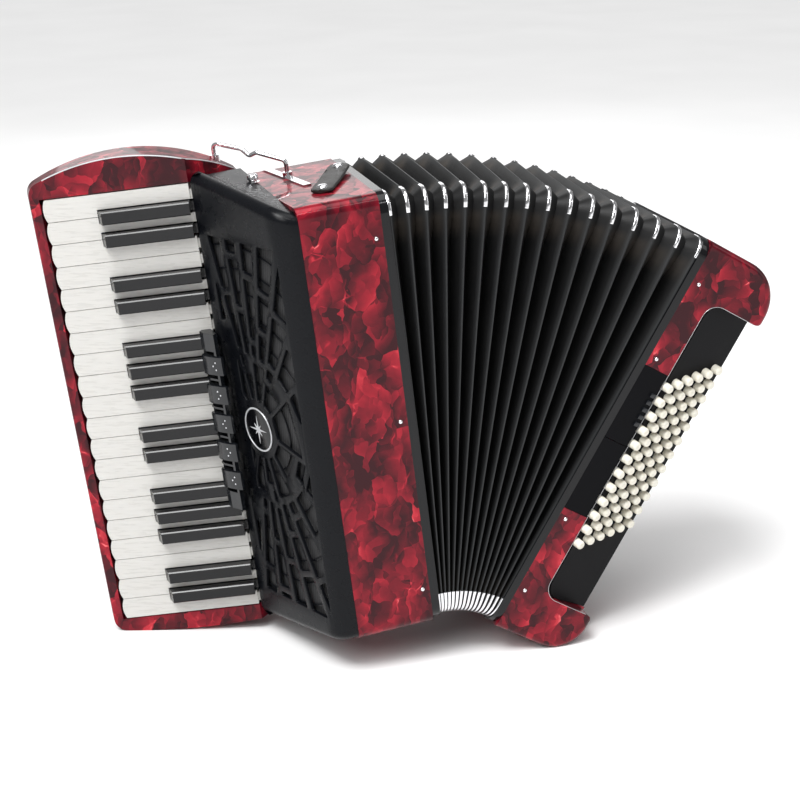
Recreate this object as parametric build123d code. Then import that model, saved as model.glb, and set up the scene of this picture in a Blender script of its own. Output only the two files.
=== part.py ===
from build123d import *
import os
from math import atan2, cos, degrees, hypot, radians, sin

# Piano accordion, 34 treble keys and 72 bass buttons, standing with its bellows fanned open.
# The treble side is drawn upright first: x towards the bellows, y from the front to the player's
# side, z up along the keyboard, with x = 0 where the treble casing meets the bellows frame.
# The bass side is drawn in its own frame of the same kind and then turned by the fan angle.

os.makedirs("parts", exist_ok=True)

# ---- driving dimensions, mm ----
KEY_PITCH = 19.5
WHITE_COUNT = 20
# white keys, counted from the top, that have a black key below them
BLACK_AFTER = [1, 2, 4, 5, 7, 8, 9, 11, 12, 14, 15, 16, 18, 19]
KEY_GAP = 0.5
KEY_TILT = 15.8
KEY_LENGTH = 121.0
KEY_END_BULGE = 2.2
KEY_DEPTH = 12.0
KEY_SHANK = 34.0
SHANK_REACH = 2.0
BLACK_LENGTH = 78.0
BLACK_WIDTH = 11.0
BLACK_HEIGHT = 9.5
AXLE_RADIUS = 2.0
LEVER_BACK_Y = 107.0
LEVER_FAN = 0.115
WHITE_PALLET_Y = 50.0
BLACK_PALLET_Y = 86.0
PALLET_LENGTH = 20.0
PALLET_WIDTH = 13.0
RUNNING_CLEARANCE = 0.05

BODY_HEIGHT = 379.0
BODY_DEPTH = 166.0
BODY_CORNER = 9.0
WALL = 5.0
TREBLE_FRONT_WIDTH = 66.0
TREBLE_BACK_WIDTH = 84.0

# where the white keys come out from under the grille, in the x-y section
KEY_LINE_X = -131.0
KEY_LINE_Y = 114.0
BED_MARGIN = 12.0
BED_BACK = 171.0
BED_POCKET_DEPTH = 18.5

GRILLE_THICKNESS = 2.6
GRILLE_BEND_X = -84.0
GRILLE_BEND_RADIUS = 24.0
GRILLE_SLOT_SPOKES = 30
BADGE_RADIUS = 21.0

REGISTER_COUNT = 5
REGISTER_PITCH = 26.2
REGISTER_MIDDLE_Z = 186.0

FAN_ANGLE = 36.8
FAN_RADIUS = 91.0
FRAME_THICKNESS = 7.0
FRAME_WALL = 12.0
FRAME_CORNER = 16.0
PLEAT_CORNER = 22.0
PLEAT_COUNT = 16
PLEAT_HEIGHT = 375.0
PLEAT_RING = 22.0
SOFT_CLEARANCE = 0.3

BASS_THICKNESS = 81.0
BASS_TOP_RADIUS = 36.0
BASS_BOTTOM_RADIUS = 32.0
BOARD_FRONT_X = 25.0
BOARD_LOW_Z = 42.0
BOARD_HIGH_Z = 334.0
BOARD_SLOPE = 22.0
BOARD_THICKNESS = 3.0
BUTTON_COLUMNS = 12
BUTTON_ROWS = 6
BUTTON_RADIUS = 4.0
BUTTON_PITCH = 14.1
BUTTON_ROW_PITCH = 9.5
BUTTON_SHEAR = 6.4
BUTTON_STAND = 6.5
BUTTON_LENGTH = 12.0
FIRST_ROW_ACROSS = 4.6
FIRST_BUTTON_Z = 252.5
RECESS_CORNER = 14.0
ARM_TIP_RADIUS = 8.0
FRONT_EDGE_RADIUS = 5.0
AIR_BUTTON_Y = 60.0
AIR_BUTTON_Z = 318.0
AIR_STEM_RADIUS = 3.0
BUTTON_TRAVEL = 4.0
PANEL_LOW_Z = 121.0
PANEL_HIGH_Z = 262.0
PANEL_BACK = 3.0

# ---- worked-out sizes ----
KEYBOARD_LENGTH = KEY_PITCH * WHITE_COUNT
TILT_COS = cos(radians(KEY_TILT))
TILT_SIN = sin(radians(KEY_TILT))
SLOPE_COS = cos(radians(BOARD_SLOPE))
SLOPE_SIN = sin(radians(BOARD_SLOPE))
BOARD_WIDTH = (BASS_THICKNESS - BOARD_FRONT_X) / SLOPE_COS - 0.5
FAN_COS = cos(radians(FAN_ANGLE))
FAN_SIN = sin(radians(FAN_ANGLE))

# u runs out along a key, v out of its playing face, z along the keyboard
KEY_FRAME = Location((KEY_LINE_X, KEY_LINE_Y, 0)) * Rotation(0, 0, 180 - KEY_TILT)
PIVOT_U = -24.0
PIVOT_V = -8.0
PIVOT_X = KEY_LINE_X - PIVOT_U * TILT_COS - PIVOT_V * TILT_SIN
PIVOT_Y = KEY_LINE_Y + PIVOT_U * TILT_SIN - PIVOT_V * TILT_COS

# the bass frame's origin is where its bellows plane meets the bottom edge
BASS_FRAME = Location((FAN_RADIUS * FAN_SIN, 0, FAN_RADIUS * (FAN_COS - 1))) * Rotation(0, FAN_ANGLE, 0)

# The instrument stands like a tent on the keyboard bed's outer lower corner and the bass
# casing's outer lower corner, so the whole of it is turned about y until the two are level.
BED_OUT_X = KEY_LINE_X - (KEY_LENGTH + BED_MARGIN) * TILT_COS
BED_LOW_Z = -11.0
BED_FOOT_RADIUS = 12.0
# the bed's curved bottom edge brings its rounded corner a little below a square corner's
BED_FOOT_DROP = 1.7
LEFT_FOOT_X = BED_OUT_X + BED_FOOT_RADIUS
LEFT_FOOT_Z = BED_LOW_Z + BED_FOOT_RADIUS - BED_FOOT_DROP
RIGHT_FOOT_BASS_X = BASS_THICKNESS - BASS_BOTTOM_RADIUS
RIGHT_FOOT_X = FAN_RADIUS * FAN_SIN + RIGHT_FOOT_BASS_X * FAN_COS + BASS_BOTTOM_RADIUS * FAN_SIN
RIGHT_FOOT_Z = FAN_RADIUS * (FAN_COS - 1) - RIGHT_FOOT_BASS_X * FAN_SIN + BASS_BOTTOM_RADIUS * FAN_COS
# centres of the two rounded feet; the line under both circles is the floor
FOOT_SPAN = hypot(RIGHT_FOOT_X - LEFT_FOOT_X, RIGHT_FOOT_Z - LEFT_FOOT_Z)
FOOT_LINE = degrees(atan2(RIGHT_FOOT_Z - LEFT_FOOT_Z, RIGHT_FOOT_X - LEFT_FOOT_X))
STANCE_ANGLE = FOOT_LINE - degrees(atan2(BASS_BOTTOM_RADIUS - BED_FOOT_RADIUS, FOOT_SPAN))
STANCE_COS = cos(radians(STANCE_ANGLE))
STANCE_SIN = sin(radians(STANCE_ANGLE))
FLOOR_SHIFT = BED_FOOT_RADIUS + LEFT_FOOT_X * STANCE_SIN - LEFT_FOOT_Z * STANCE_COS
# these bring the middle of the instrument's overall box onto the origin
CENTRE_SHIFT_X = -0.88
CENTRE_SHIFT_Y = -82.9
STANCE = Location((CENTRE_SHIFT_X, CENTRE_SHIFT_Y, FLOOR_SHIFT)) * Rotation(0, STANCE_ANGLE, 0)


def block(x0, x1, y0, y1, z0, z1):
    """Box between two corners."""
    centre = ((x0 + x1) / 2, (y0 + y1) / 2, (z0 + z1) / 2)
    return Location(centre) * Box(abs(x1 - x0), abs(y1 - y0), abs(z1 - z0))


def prism(points, z0, z1):
    """Upright prism over a polygon in the x-y section."""
    face = make_face(Polyline(*points, close=True))
    return Location((0, 0, z0)) * extrude(face, amount=z1 - z0)


def post(x, y, z0, z1, radius):
    """Upright round bar."""
    return Location((x, y, (z0 + z1) / 2)) * Cylinder(radius, z1 - z0)


def left_wall_x(y):
    """The treble casing's keyboard-side wall widens towards the player."""
    return -TREBLE_FRONT_WIDTH - (TREBLE_BACK_WIDTH - TREBLE_FRONT_WIDTH) * y / BODY_DEPTH


def save(node, shape):
    """Turn a shape from the upright frame into the standing frame and write it."""
    placed = STANCE * shape
    placed.label = node
    export_step(placed, "parts/" + node + ".step")
    return placed


def group(shapes):
    """Several separate solids as one compound."""
    solids = []
    for shape in shapes:
        solids.extend(shape.solids())
    return Compound(children=solids)


# ---- treble side ----
def treble_casing():
    outline = [
        (0, 0),
        (left_wall_x(0), 0),
        (left_wall_x(BODY_DEPTH), BODY_DEPTH),
        (0, BODY_DEPTH),
    ]
    body = prism(outline, 0, BODY_HEIGHT)
    long_edges = body.edges().filter_by(Axis.X)
    body = fillet(long_edges, BODY_CORNER)
    hollow_points = [
        (1, WALL),
        (left_wall_x(WALL) + WALL, WALL),
        (left_wall_x(BODY_DEPTH - WALL) + WALL, BODY_DEPTH - WALL),
        (1, BODY_DEPTH - WALL),
    ]
    hollow = prism(hollow_points, WALL, BODY_HEIGHT - WALL)
    window = prism(soundboard_outline(10, 125, -2, WALL + 2), 8, BODY_HEIGHT - 8)
    return body - hollow - window


def soundboard_outline(y0, y1, outer, inner):
    """Quadrilateral that follows the slanting wall between two depths."""
    return [
        (left_wall_x(y0) + outer, y0),
        (left_wall_x(y0) + inner, y0),
        (left_wall_x(y1) + inner, y1),
        (left_wall_x(y1) + outer, y1),
    ]


def lever_z(key_z, y):
    """The levers fan in towards the middle, because the soundboard is shorter than the keyboard."""
    share = LEVER_FAN * (LEVER_BACK_Y - y) / (LEVER_BACK_Y - WHITE_PALLET_Y)
    return key_z - (key_z - BODY_HEIGHT / 2) * share


def white_centre(index):
    return KEYBOARD_LENGTH - KEY_PITCH * (index - 0.5)


def black_centre(index):
    return KEYBOARD_LENGTH - KEY_PITCH * index


def treble_soundboard():
    plate = prism(soundboard_outline(10.3, 124.7, 0, WALL), 8.3, BODY_HEIGHT - 8.3)
    holes = []
    for index in range(1, WHITE_COUNT + 1):
        holes.append(tone_hole(WHITE_PALLET_Y, lever_z(white_centre(index), WHITE_PALLET_Y)))
    for index in BLACK_AFTER:
        holes.append(tone_hole(BLACK_PALLET_Y, lever_z(black_centre(index), BLACK_PALLET_Y)))
    return plate - holes


def tone_hole(y, z):
    return block(left_wall_x(y) - 8, left_wall_x(y) + 12, y - 7, y + 7, z - 3.5, z + 3.5)


def treble_reed_blocks():
    """Two long wooden reed blocks on the soundboard, with reed plates on both faces."""
    pieces = []
    for y in (WHITE_PALLET_Y, BLACK_PALLET_Y):
        x0 = left_wall_x(y) + WALL + 2
        pieces.append(block(x0, x0 + 38, y - 9, y + 9, 14, BODY_HEIGHT - 14))
        for index in range(WHITE_COUNT - 2):
            z = 24 + index * 19.4
            pieces.append(block(x0 + 4, x0 + 36, y - 11, y - 9, z, z + 15))
            pieces.append(block(x0 + 4, x0 + 36, y + 9, y + 11, z, z + 15))
    return group(pieces)


def key_lever(shank_z, key_z, pallet_y):
    """Metal arm from a key's shank to its pallet on the soundboard."""
    z = lever_z(key_z, pallet_y)
    arm_back = LEVER_BACK_Y + 6
    foot = block(-104, -89, LEVER_BACK_Y, arm_back, shank_z - 2, shank_z + 2)
    corner = Plane(origin=(-92, 0, 0), x_dir=(0, 1, 0), z_dir=(1, 0, 0))
    points = [
        (arm_back, shank_z - 2),
        (arm_back, shank_z + 2),
        (LEVER_BACK_Y, shank_z + 2),
        (pallet_y + 6, z + 1.6),
        (pallet_y - 4, z + 1.6),
        (pallet_y - 4, z - 1.6),
        (pallet_y + 6, z - 1.6),
        (LEVER_BACK_Y, shank_z - 2),
    ]
    arm = extrude(corner * make_face(Polyline(*points, close=True)), amount=3)
    face_x = left_wall_x(pallet_y) - SOFT_CLEARANCE
    stalk = block(-91, face_x - 4, pallet_y - 2.5, pallet_y + 2.5, z - 1.6, z + 1.6)
    slant = degrees(atan2(TREBLE_BACK_WIDTH - TREBLE_FRONT_WIDTH, BODY_DEPTH))
    pallet_turn = Location((face_x, pallet_y, z)) * Rotation(0, 0, slant)
    half_length = PALLET_LENGTH / 2
    half_width = PALLET_WIDTH / 2
    pallet = pallet_turn * block(-5, 0, -half_length, half_length, -half_width, half_width)
    return foot + arm + stalk + pallet


def key_shank(key_z):
    """Narrow wooden tail of a key, with the bore for the common axle."""
    shank = KEY_FRAME * block(-KEY_SHANK, SHANK_REACH, -KEY_DEPTH, -1.5, key_z - 4, key_z + 4)
    bore = post(PIVOT_X, PIVOT_Y, key_z - 6, key_z + 6, AXLE_RADIUS + RUNNING_CLEARANCE)
    return shank, bore


def shank_shift(index):
    """A white key with one black neighbour has its tail moved away from it."""
    if index == 1:
        return 0.0
    return 3.0 * ((index in BLACK_AFTER) - (index - 1 in BLACK_AFTER))


def white_key(index):
    middle = white_centre(index)
    low = middle - KEY_PITCH / 2 + KEY_GAP / 2
    high = middle + KEY_PITCH / 2 - KEY_GAP / 2
    outline = Curve() + [
        Line((0.4, low), (KEY_LENGTH, low)),
        ThreePointArc((KEY_LENGTH, low), (KEY_LENGTH + KEY_END_BULGE, middle), (KEY_LENGTH, high)),
        Line((KEY_LENGTH, high), (0.4, high)),
        Line((0.4, high), (0.4, low)),
    ]
    plane = Plane(origin=(0, 0, 0), x_dir=(1, 0, 0), z_dir=(0, -1, 0))
    body = extrude(plane * make_face(outline), amount=KEY_DEPTH)
    slot_half = BLACK_WIDTH / 2 + 0.7
    for edge_z, has_black in ((low, index in BLACK_AFTER), (high, index - 1 in BLACK_AFTER)):
        if has_black:
            boundary = edge_z - KEY_GAP / 2 if edge_z == low else edge_z + KEY_GAP / 2
            slot_low = boundary - slot_half
            slot_high = boundary + slot_half
            body = body - block(-1, BLACK_LENGTH + 0.9, -KEY_DEPTH - 1, 1, slot_low, slot_high)
    shank_z = middle + shank_shift(index)
    shank, bore = key_shank(shank_z)
    return (KEY_FRAME * body + shank + key_lever(shank_z, middle, WHITE_PALLET_Y)) - bore


def black_key(index):
    middle = black_centre(index)
    half = BLACK_WIDTH / 2
    plane = Plane(origin=(0, 0, middle - half), x_dir=(1, 0, 0), z_dir=(0, 0, 1))
    side = [
        (1.0, -KEY_DEPTH),
        (BLACK_LENGTH, -KEY_DEPTH),
        (BLACK_LENGTH, 1.5),
        (BLACK_LENGTH - 3.5, BLACK_HEIGHT),
        (1.0, BLACK_HEIGHT),
    ]
    body = extrude(plane * make_face(Polyline(*side, close=True)), amount=BLACK_WIDTH)
    top_edges = body.edges().filter_by(Axis.X).group_by(Axis.Y)[-1]
    body = chamfer(top_edges, 0.9)
    shank, bore = key_shank(middle)
    return (KEY_FRAME * body + shank + key_lever(middle, middle, BLACK_PALLET_Y)) - bore


def key_axle():
    return post(PIVOT_X, PIVOT_Y, -3.5, KEYBOARD_LENGTH - 0.8, AXLE_RADIUS)


def arch_height(x, ends, crown):
    """Height at x of the circle through two end points and a crown point, all (x, z)."""
    (x1, z1), (x2, z2), (x3, z3) = ends[0], crown, ends[1]
    base = 2 * (x1 * (z2 - z3) + x2 * (z3 - z1) + x3 * (z1 - z2))
    s1, s2, s3 = x1 * x1 + z1 * z1, x2 * x2 + z2 * z2, x3 * x3 + z3 * z3
    centre_x = (s1 * (z2 - z3) + s2 * (z3 - z1) + s3 * (z1 - z2)) / base
    centre_z = (s1 * (x3 - x2) + s2 * (x1 - x3) + s3 * (x2 - x1)) / base
    radius = hypot(x1 - centre_x, z1 - centre_z)
    return centre_z + (radius ** 2 - (x - centre_x) ** 2) ** 0.5


BED_INNER_X = left_wall_x(BODY_DEPTH) - SOFT_CLEARANCE
BED_TOP_ENDS = [(BED_OUT_X, KEYBOARD_LENGTH + 11), (BED_INNER_X, KEYBOARD_LENGTH - 3)]
BED_TOP_CROWN = (-160, KEYBOARD_LENGTH + 27)


def keyboard_bed():
    """Wooden bed with an arched top edge and a tray for the keys."""
    inner_x = BED_INNER_X
    top_outer = BED_TOP_ENDS[0][1]
    outline = Curve() + [
        Line((BED_OUT_X, BED_LOW_Z), (BED_OUT_X, top_outer)),
        ThreePointArc(BED_TOP_ENDS[0], BED_TOP_CROWN, BED_TOP_ENDS[1]),
        Line(BED_TOP_ENDS[1], (inner_x, -9)),
        ThreePointArc((inner_x, -9), (-165, -17), (BED_OUT_X, BED_LOW_Z)),
    ]
    plane = Plane(origin=(0, 0, 0), x_dir=(1, 0, 0), z_dir=(0, -1, 0))
    body = extrude(plane * make_face(outline), amount=-BED_BACK)
    outer_edges = body.edges().filter_by(Axis.Y).group_by(Axis.X)[0]
    body = fillet(outer_edges, BED_FOOT_RADIUS)
    back_edge = body.faces().sort_by(Axis.Y)[-1].edges()
    back_edge = back_edge.filter_by(lambda e: e.center().X < inner_x - 1)
    body = fillet(back_edge, 5)
    rim_y = KEY_LINE_Y + (KEY_LINE_X - BED_OUT_X + 2) * TILT_SIN / TILT_COS
    front = [
        (BED_OUT_X - 2, -5),
        (BED_OUT_X - 2, rim_y),
        (KEY_LINE_X, KEY_LINE_Y),
        (inner_x + 1.5, 147),
        (inner_x + 1.5, -5),
    ]
    body = body - prism(front, -60, KEYBOARD_LENGTH + 60)
    tray = KEY_FRAME * block(-KEY_SHANK - 4, KEY_LENGTH + KEY_END_BULGE + 1.6, -BED_POCKET_DEPTH, 5,
                             -0.8, KEYBOARD_LENGTH + 0.8)
    body = body - tray
    bore = post(PIVOT_X, PIVOT_Y, -60, 500, AXLE_RADIUS + 0.02)
    cheeks = block(-111, -99, 108, 137, -3.9, -0.8) + block(-111, -99, 108, 137, 385.6, 389.4)
    return body + (cheeks - bore)


# ---- grille ----
def grille_section(inset):
    """Closed x-y section of the grille cover: front strip, bend, slope and back side."""
    slope_x = KEY_LINE_X + 0.6
    slope_y = KEY_LINE_Y - 2.2
    run = hypot(slope_x - GRILLE_BEND_X, slope_y)
    along_x = (slope_x - GRILLE_BEND_X) / run
    along_y = slope_y / run
    turn = atan2(along_y, -along_x)
    setback = GRILLE_BEND_RADIUS * sin(turn / 2) / cos(turn / 2)
    bend_start = (GRILLE_BEND_X + setback, 0)
    bend_end = (GRILLE_BEND_X + along_x * setback, along_y * setback)
    middle_angle = turn / 2
    middle = (
        bend_start[0] - GRILLE_BEND_RADIUS * sin(middle_angle),
        GRILLE_BEND_RADIUS * (1 - cos(middle_angle)),
    )
    corner_x = left_wall_x(146) - SOFT_CLEARANCE
    lines = Curve() + [
        Line((-TREBLE_FRONT_WIDTH - SOFT_CLEARANCE, 0), bend_start),
        ThreePointArc(bend_start, middle, bend_end),
        Line(bend_end, (slope_x, slope_y)),
        Line((slope_x, slope_y), (corner_x, 145.2)),
        Line((corner_x, 145.2), (-TREBLE_FRONT_WIDTH - SOFT_CLEARANCE, 0)),
    ]
    face = make_face(lines)
    if inset:
        face = offset(face, -inset, kind=Kind.INTERSECTION)
    return face


def end_plane(front_z, key_z, back_z, upward):
    """Sloping end face of the grille through three corner heights."""
    a = Vector(-75, 0, front_z)
    b = Vector(KEY_LINE_X, KEY_LINE_Y, key_z)
    c = Vector(-81, 147, back_z)
    normal = (b - a).cross(c - a).normalized()
    if (normal.Z > 0) != upward:
        normal = normal * -1
    return Plane(origin=a, z_dir=normal)


def grille_cover():
    outer = Location((0, 0, -30)) * extrude(grille_section(0), amount=460)
    top = end_plane(377, 399, 388, True)
    bottom = end_plane(1, -9, -9, False)
    slab = Box(500, 500, 100, align=(Align.CENTER, Align.CENTER, Align.MIN))
    outer = outer - top * slab - bottom * slab
    inner = Location((0, 0, -30)) * extrude(grille_section(GRILLE_THICKNESS), amount=460)
    inner = inner - top.offset(-GRILLE_THICKNESS) * slab - bottom.offset(-GRILLE_THICKNESS) * slab
    shell = outer - inner
    # the side towards the casing and the keys is open for the key levers
    opening = [
        (-128, 116),
        (-86, 143),
        (-84.5, 139),
        (left_wall_x(6) - 5, 6),
        (left_wall_x(6) + 5, 6),
        (left_wall_x(150) + 5, 150),
        (-128, 124),
    ]
    shell = shell - prism(opening, 6, 380)
    under = KEY_FRAME * block(-KEY_SHANK - 4, 3, -BED_POCKET_DEPTH, 0.9, -0.8, KEYBOARD_LENGTH + 0.8)
    cheek_room = block(-112, -98, 107.5, 150, -4.5, KEYBOARD_LENGTH)
    shell = shell - under - cheek_room
    return shell - grille_slots()


def slope_frame():
    """Plane on the grille's slope, centred on the badge: x towards the keys, y up, z out."""
    run_x = KEY_LINE_X - GRILLE_BEND_X
    length = hypot(run_x, KEY_LINE_Y)
    share = 0.60
    origin = (GRILLE_BEND_X + run_x * share, KEY_LINE_Y * share, BODY_HEIGHT / 2 - 7)
    return Plane(origin=origin, x_dir=(run_x / length, KEY_LINE_Y / length, 0),
                 z_dir=(-KEY_LINE_Y / length, run_x / length, 0))


def grille_slots():
    """Radial slots in rings round the badge, kept inside the sloping face."""
    rings = [(29, 52), (56, 92), (96, 136), (140, 172)]
    frame = slope_frame()
    cutters = []
    for ring, (inner_r, outer_r) in enumerate(rings):
        spokes = GRILLE_SLOT_SPOKES
        for spoke in range(spokes):
            angle = 360 / spokes * (spoke + 0.5 * (ring % 2))
            reach = radians(angle)
            tip_x = outer_r * cos(reach)
            if tip_x > 30 or tip_x < -58 or abs(outer_r * sin(reach)) > 166:
                continue
            near = inner_r * radians(360 / spokes) * 0.62
            far = outer_r * radians(360 / spokes) * 0.62
            near = min(near, 9)
            far = min(far, 12)
            points = [(inner_r, -near / 2), (outer_r, -far / 2), (outer_r, far / 2), (inner_r, near / 2)]
            face = Rotation(0, 0, angle) * make_face(Polyline(*points, close=True))
            cutters.append(extrude(frame * face, amount=4, both=True))
    return cutters


def grille_cloth():
    """Thin cloth sheet close behind the slots."""
    frame = slope_frame().offset(-GRILLE_THICKNESS - 1.0)
    sheet = frame * block(-60, 34, -166, 166, -0.6, 0)
    return sheet


def register_section():
    """Section of the housing along the grille's key-side edge, in the key frame."""
    return [
        (0.4, 10.8),
        (8.0, 11.2),
        (9.5, 15.0),
        (6.0, 20.5),
        (-3.5, 29.0),
        (-6.2, 26.2),
    ]


def register_housing():
    length = REGISTER_COUNT * REGISTER_PITCH + 30
    low = REGISTER_MIDDLE_Z - length / 2
    body = KEY_FRAME * prism(register_section(), low, low + length)
    for index in range(REGISTER_COUNT):
        z = register_z(index)
        body = body - KEY_FRAME * block(-1.5, 12, 13.2, 34, z - 12.2, z + 12.2)
    return body


def register_z(index):
    return REGISTER_MIDDLE_Z + REGISTER_PITCH * ((REGISTER_COUNT - 1) / 2 - index)


def register_switch(index):
    """Rocker tab in its recess of the housing."""
    z = register_z(index)
    points = [(-1.0, 15.2), (8.6, 14.0), (9.4, 16.6), (6.8, 20.8), (-0.6, 25.6), (-1.2, 24.0)]
    tab = prism(points, z - 11.4, z + 11.4)
    tab = fillet(tab.edges().filter_by(Axis.Z), 0.6)
    return KEY_FRAME * tab


# ---- fittings on the treble casing ----
WIRE_RADIUS = 1.9
STRAP_LENGTH = 80.0
STRAP_WIDTH = 20.0
STRAP_THICKNESS = 2.8


def strap_bracket():
    """Bent wire loop for the shoulder straps, on two feet, with a flat rail beside it."""
    left_seat = arch_height(-100, BED_TOP_ENDS, BED_TOP_CROWN)
    left = Vector(-100, 155, left_seat + 14)
    right = Vector(-47, 118, BODY_HEIGHT + 14)
    dip = (left + right) * 0.5 + Vector(0, 0, -3.5)
    span = right - left
    points = [
        (left.X, left.Y, left_seat),
        left,
        left + span * 0.40 + Vector(0, 0, 1.0),
        dip,
        left + span * 0.60 + Vector(0, 0, 1.0),
        right,
        (right.X, right.Y, BODY_HEIGHT + 1.6),
    ]
    path = FilletPolyline(*points, radius=[4, 4, 3, 4, 4])
    wire = sweep(Plane(origin=path @ 0, z_dir=path % 0) * Circle(WIRE_RADIUS), path=path)
    foot_a = post(left.X, left.Y, left_seat - 2.0, left_seat + 4.0, 4.2)
    foot_b = post(right.X, right.Y, BODY_HEIGHT + 1.2, BODY_HEIGHT + 4.4, 4.2)
    rail = Location((-49, 118, BODY_HEIGHT + 0.7)) * Rotation(0, 0, 11) * Box(7, 92, 1.2)
    lift = 0.1
    arch = Curve() + [
        ThreePointArc((BED_OUT_X, BED_TOP_ENDS[0][1] + lift), (BED_TOP_CROWN[0], BED_TOP_CROWN[1] + lift),
                      (BED_INNER_X, BED_TOP_ENDS[1][1] + lift)),
        Line((BED_INNER_X, BED_TOP_ENDS[1][1] + lift), (BED_INNER_X, 300)),
        Line((BED_INNER_X, 300), (BED_OUT_X, 300)),
        Line((BED_OUT_X, 300), (BED_OUT_X, BED_TOP_ENDS[0][1] + lift)),
    ]
    plane = Plane(origin=(0, 0, 0), x_dir=(1, 0, 0), z_dir=(0, -1, 0))
    under_arch = extrude(plane * make_face(arch), amount=-BED_BACK - 10)
    return (wire + foot_a + foot_b + rail) - under_arch


def bellows_strap():
    """Leather strap with two snaps, lying on the treble casing's top and over the frame."""
    near = Vector(-30, 50, 0)
    far = Vector(-3, 112, 0)
    middle = (near + far) * 0.5
    turn = degrees(atan2((far - near).Y, (far - near).X))
    half = STRAP_LENGTH / 2
    place = Location((middle.X, middle.Y, BODY_HEIGHT)) * Rotation(0, 0, turn)
    strap = block(-half, half, -STRAP_WIDTH / 2, STRAP_WIDTH / 2, 0.4, 0.4 + STRAP_THICKNESS)
    strap = fillet(strap.edges().filter_by(Axis.Z), STRAP_WIDTH / 2 - 1)
    pieces = [place * strap]
    for shift in (-half + 9, half - 9):
        low = 0.4 + STRAP_THICKNESS
        pieces.append(place * post(shift, 0, low, low + 2.0, 5))
    return group(pieces)


# ---- bellows ----
def frame_ring(x0, x1):
    """Rounded rectangular ring round the bellows opening, seen along x."""
    plane = Plane(origin=(x0, BODY_DEPTH / 2, BODY_HEIGHT / 2), x_dir=(0, 1, 0), z_dir=(1, 0, 0))
    outer = RectangleRounded(BODY_DEPTH, BODY_HEIGHT, FRAME_CORNER)
    inner = RectangleRounded(BODY_DEPTH - 2 * FRAME_WALL, BODY_HEIGHT - 2 * FRAME_WALL, FRAME_CORNER / 2)
    return extrude(plane * (outer - inner), amount=x1 - x0)


# the frames' inner faces meet at this height, a little above the point where the casings' planes meet
PLEAT_APEX_Z = -FAN_RADIUS + FRAME_THICKNESS / sin(radians(FAN_ANGLE / 2)) * cos(radians(FAN_ANGLE / 2))


def bellows_pleats():
    """One tapering ring for each fold, all converging below the bellows."""
    step = FAN_ANGLE / PLEAT_COUNT
    low = -PLEAT_APEX_Z + (BODY_HEIGHT - PLEAT_HEIGHT) / 2
    rings = []
    for fold in range(PLEAT_COUNT):
        turn = step * (fold + 0.5)
        frame = Location((FRAME_THICKNESS, 0, PLEAT_APEX_Z)) * Rotation(0, turn, 0)
        plane = Plane(origin=(0, BODY_DEPTH / 2, low + PLEAT_HEIGHT / 2), x_dir=(0, 1, 0), z_dir=(1, 0, 0))
        outer = RectangleRounded(BODY_DEPTH - 2, PLEAT_HEIGHT, PLEAT_CORNER)
        inner = RectangleRounded(BODY_DEPTH - 2 * PLEAT_RING, PLEAT_HEIGHT - 2 * PLEAT_RING, 4)
        ring = extrude(plane * (outer - inner), amount=14, both=True)
        slab = Box(60, 400, 900, align=(Align.MIN, Align.CENTER, Align.CENTER))
        cut_high = Rotation(0, step / 2, 0) * Location((-SOFT_CLEARANCE / 2, 0, 0)) * slab
        cut_low = Rotation(0, -step / 2, 0) * Location((SOFT_CLEARANCE / 2 - 60, 0, 0)) * slab
        rings.append(frame * (ring - cut_high - cut_low))
    return group(rings)


# ---- bass side, in the bass frame ----
# u runs across the board from its front edge, v into the casing
BOARD_FRAME = Location((BOARD_FRONT_X, 0, 0)) * Rotation(0, 0, BOARD_SLOPE)


def bass_outline():
    """Front view of the bass casing: rounded outer corners."""
    body = block(0, BASS_THICKNESS, 0, BODY_DEPTH, 0, BODY_HEIGHT)
    outer_edges = body.edges().filter_by(Axis.Y).group_by(Axis.X)[-1].sort_by(Axis.Z)
    body = fillet(outer_edges[0], BASS_BOTTOM_RADIUS)
    outer_edges = body.edges().filter_by(Axis.Y).group_by(Axis.X)[-1].sort_by(Axis.Z)
    return fillet(outer_edges[-1], BASS_TOP_RADIUS)


def board_recess(lift):
    """Section of the space in front of the sloping button board, lift behind its face."""
    reach = BASS_THICKNESS - BOARD_FRONT_X + 10
    return [
        (BOARD_FRONT_X, -2 - lift),
        (BOARD_FRONT_X, lift),
        (BOARD_FRONT_X + reach, lift + reach * SLOPE_SIN / SLOPE_COS),
        (BOARD_FRONT_X + reach, -2 - lift),
    ]


def arm_tip(tip_z, middle_z):
    """Waste outside the rounded tip of one arm, in front of the board."""
    middle_x = BASS_THICKNESS - ARM_TIP_RADIUS
    depth = (BASS_THICKNESS - BOARD_FRONT_X) * SLOPE_SIN / SLOPE_COS
    corner = block(middle_x, BASS_THICKNESS + 1, -1, depth, min(tip_z, middle_z), max(tip_z, middle_z))
    round_place = Location((middle_x, depth / 2, middle_z)) * Rotation(90, 0, 0)
    return corner - round_place * Cylinder(ARM_TIP_RADIUS, depth + 4)


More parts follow.
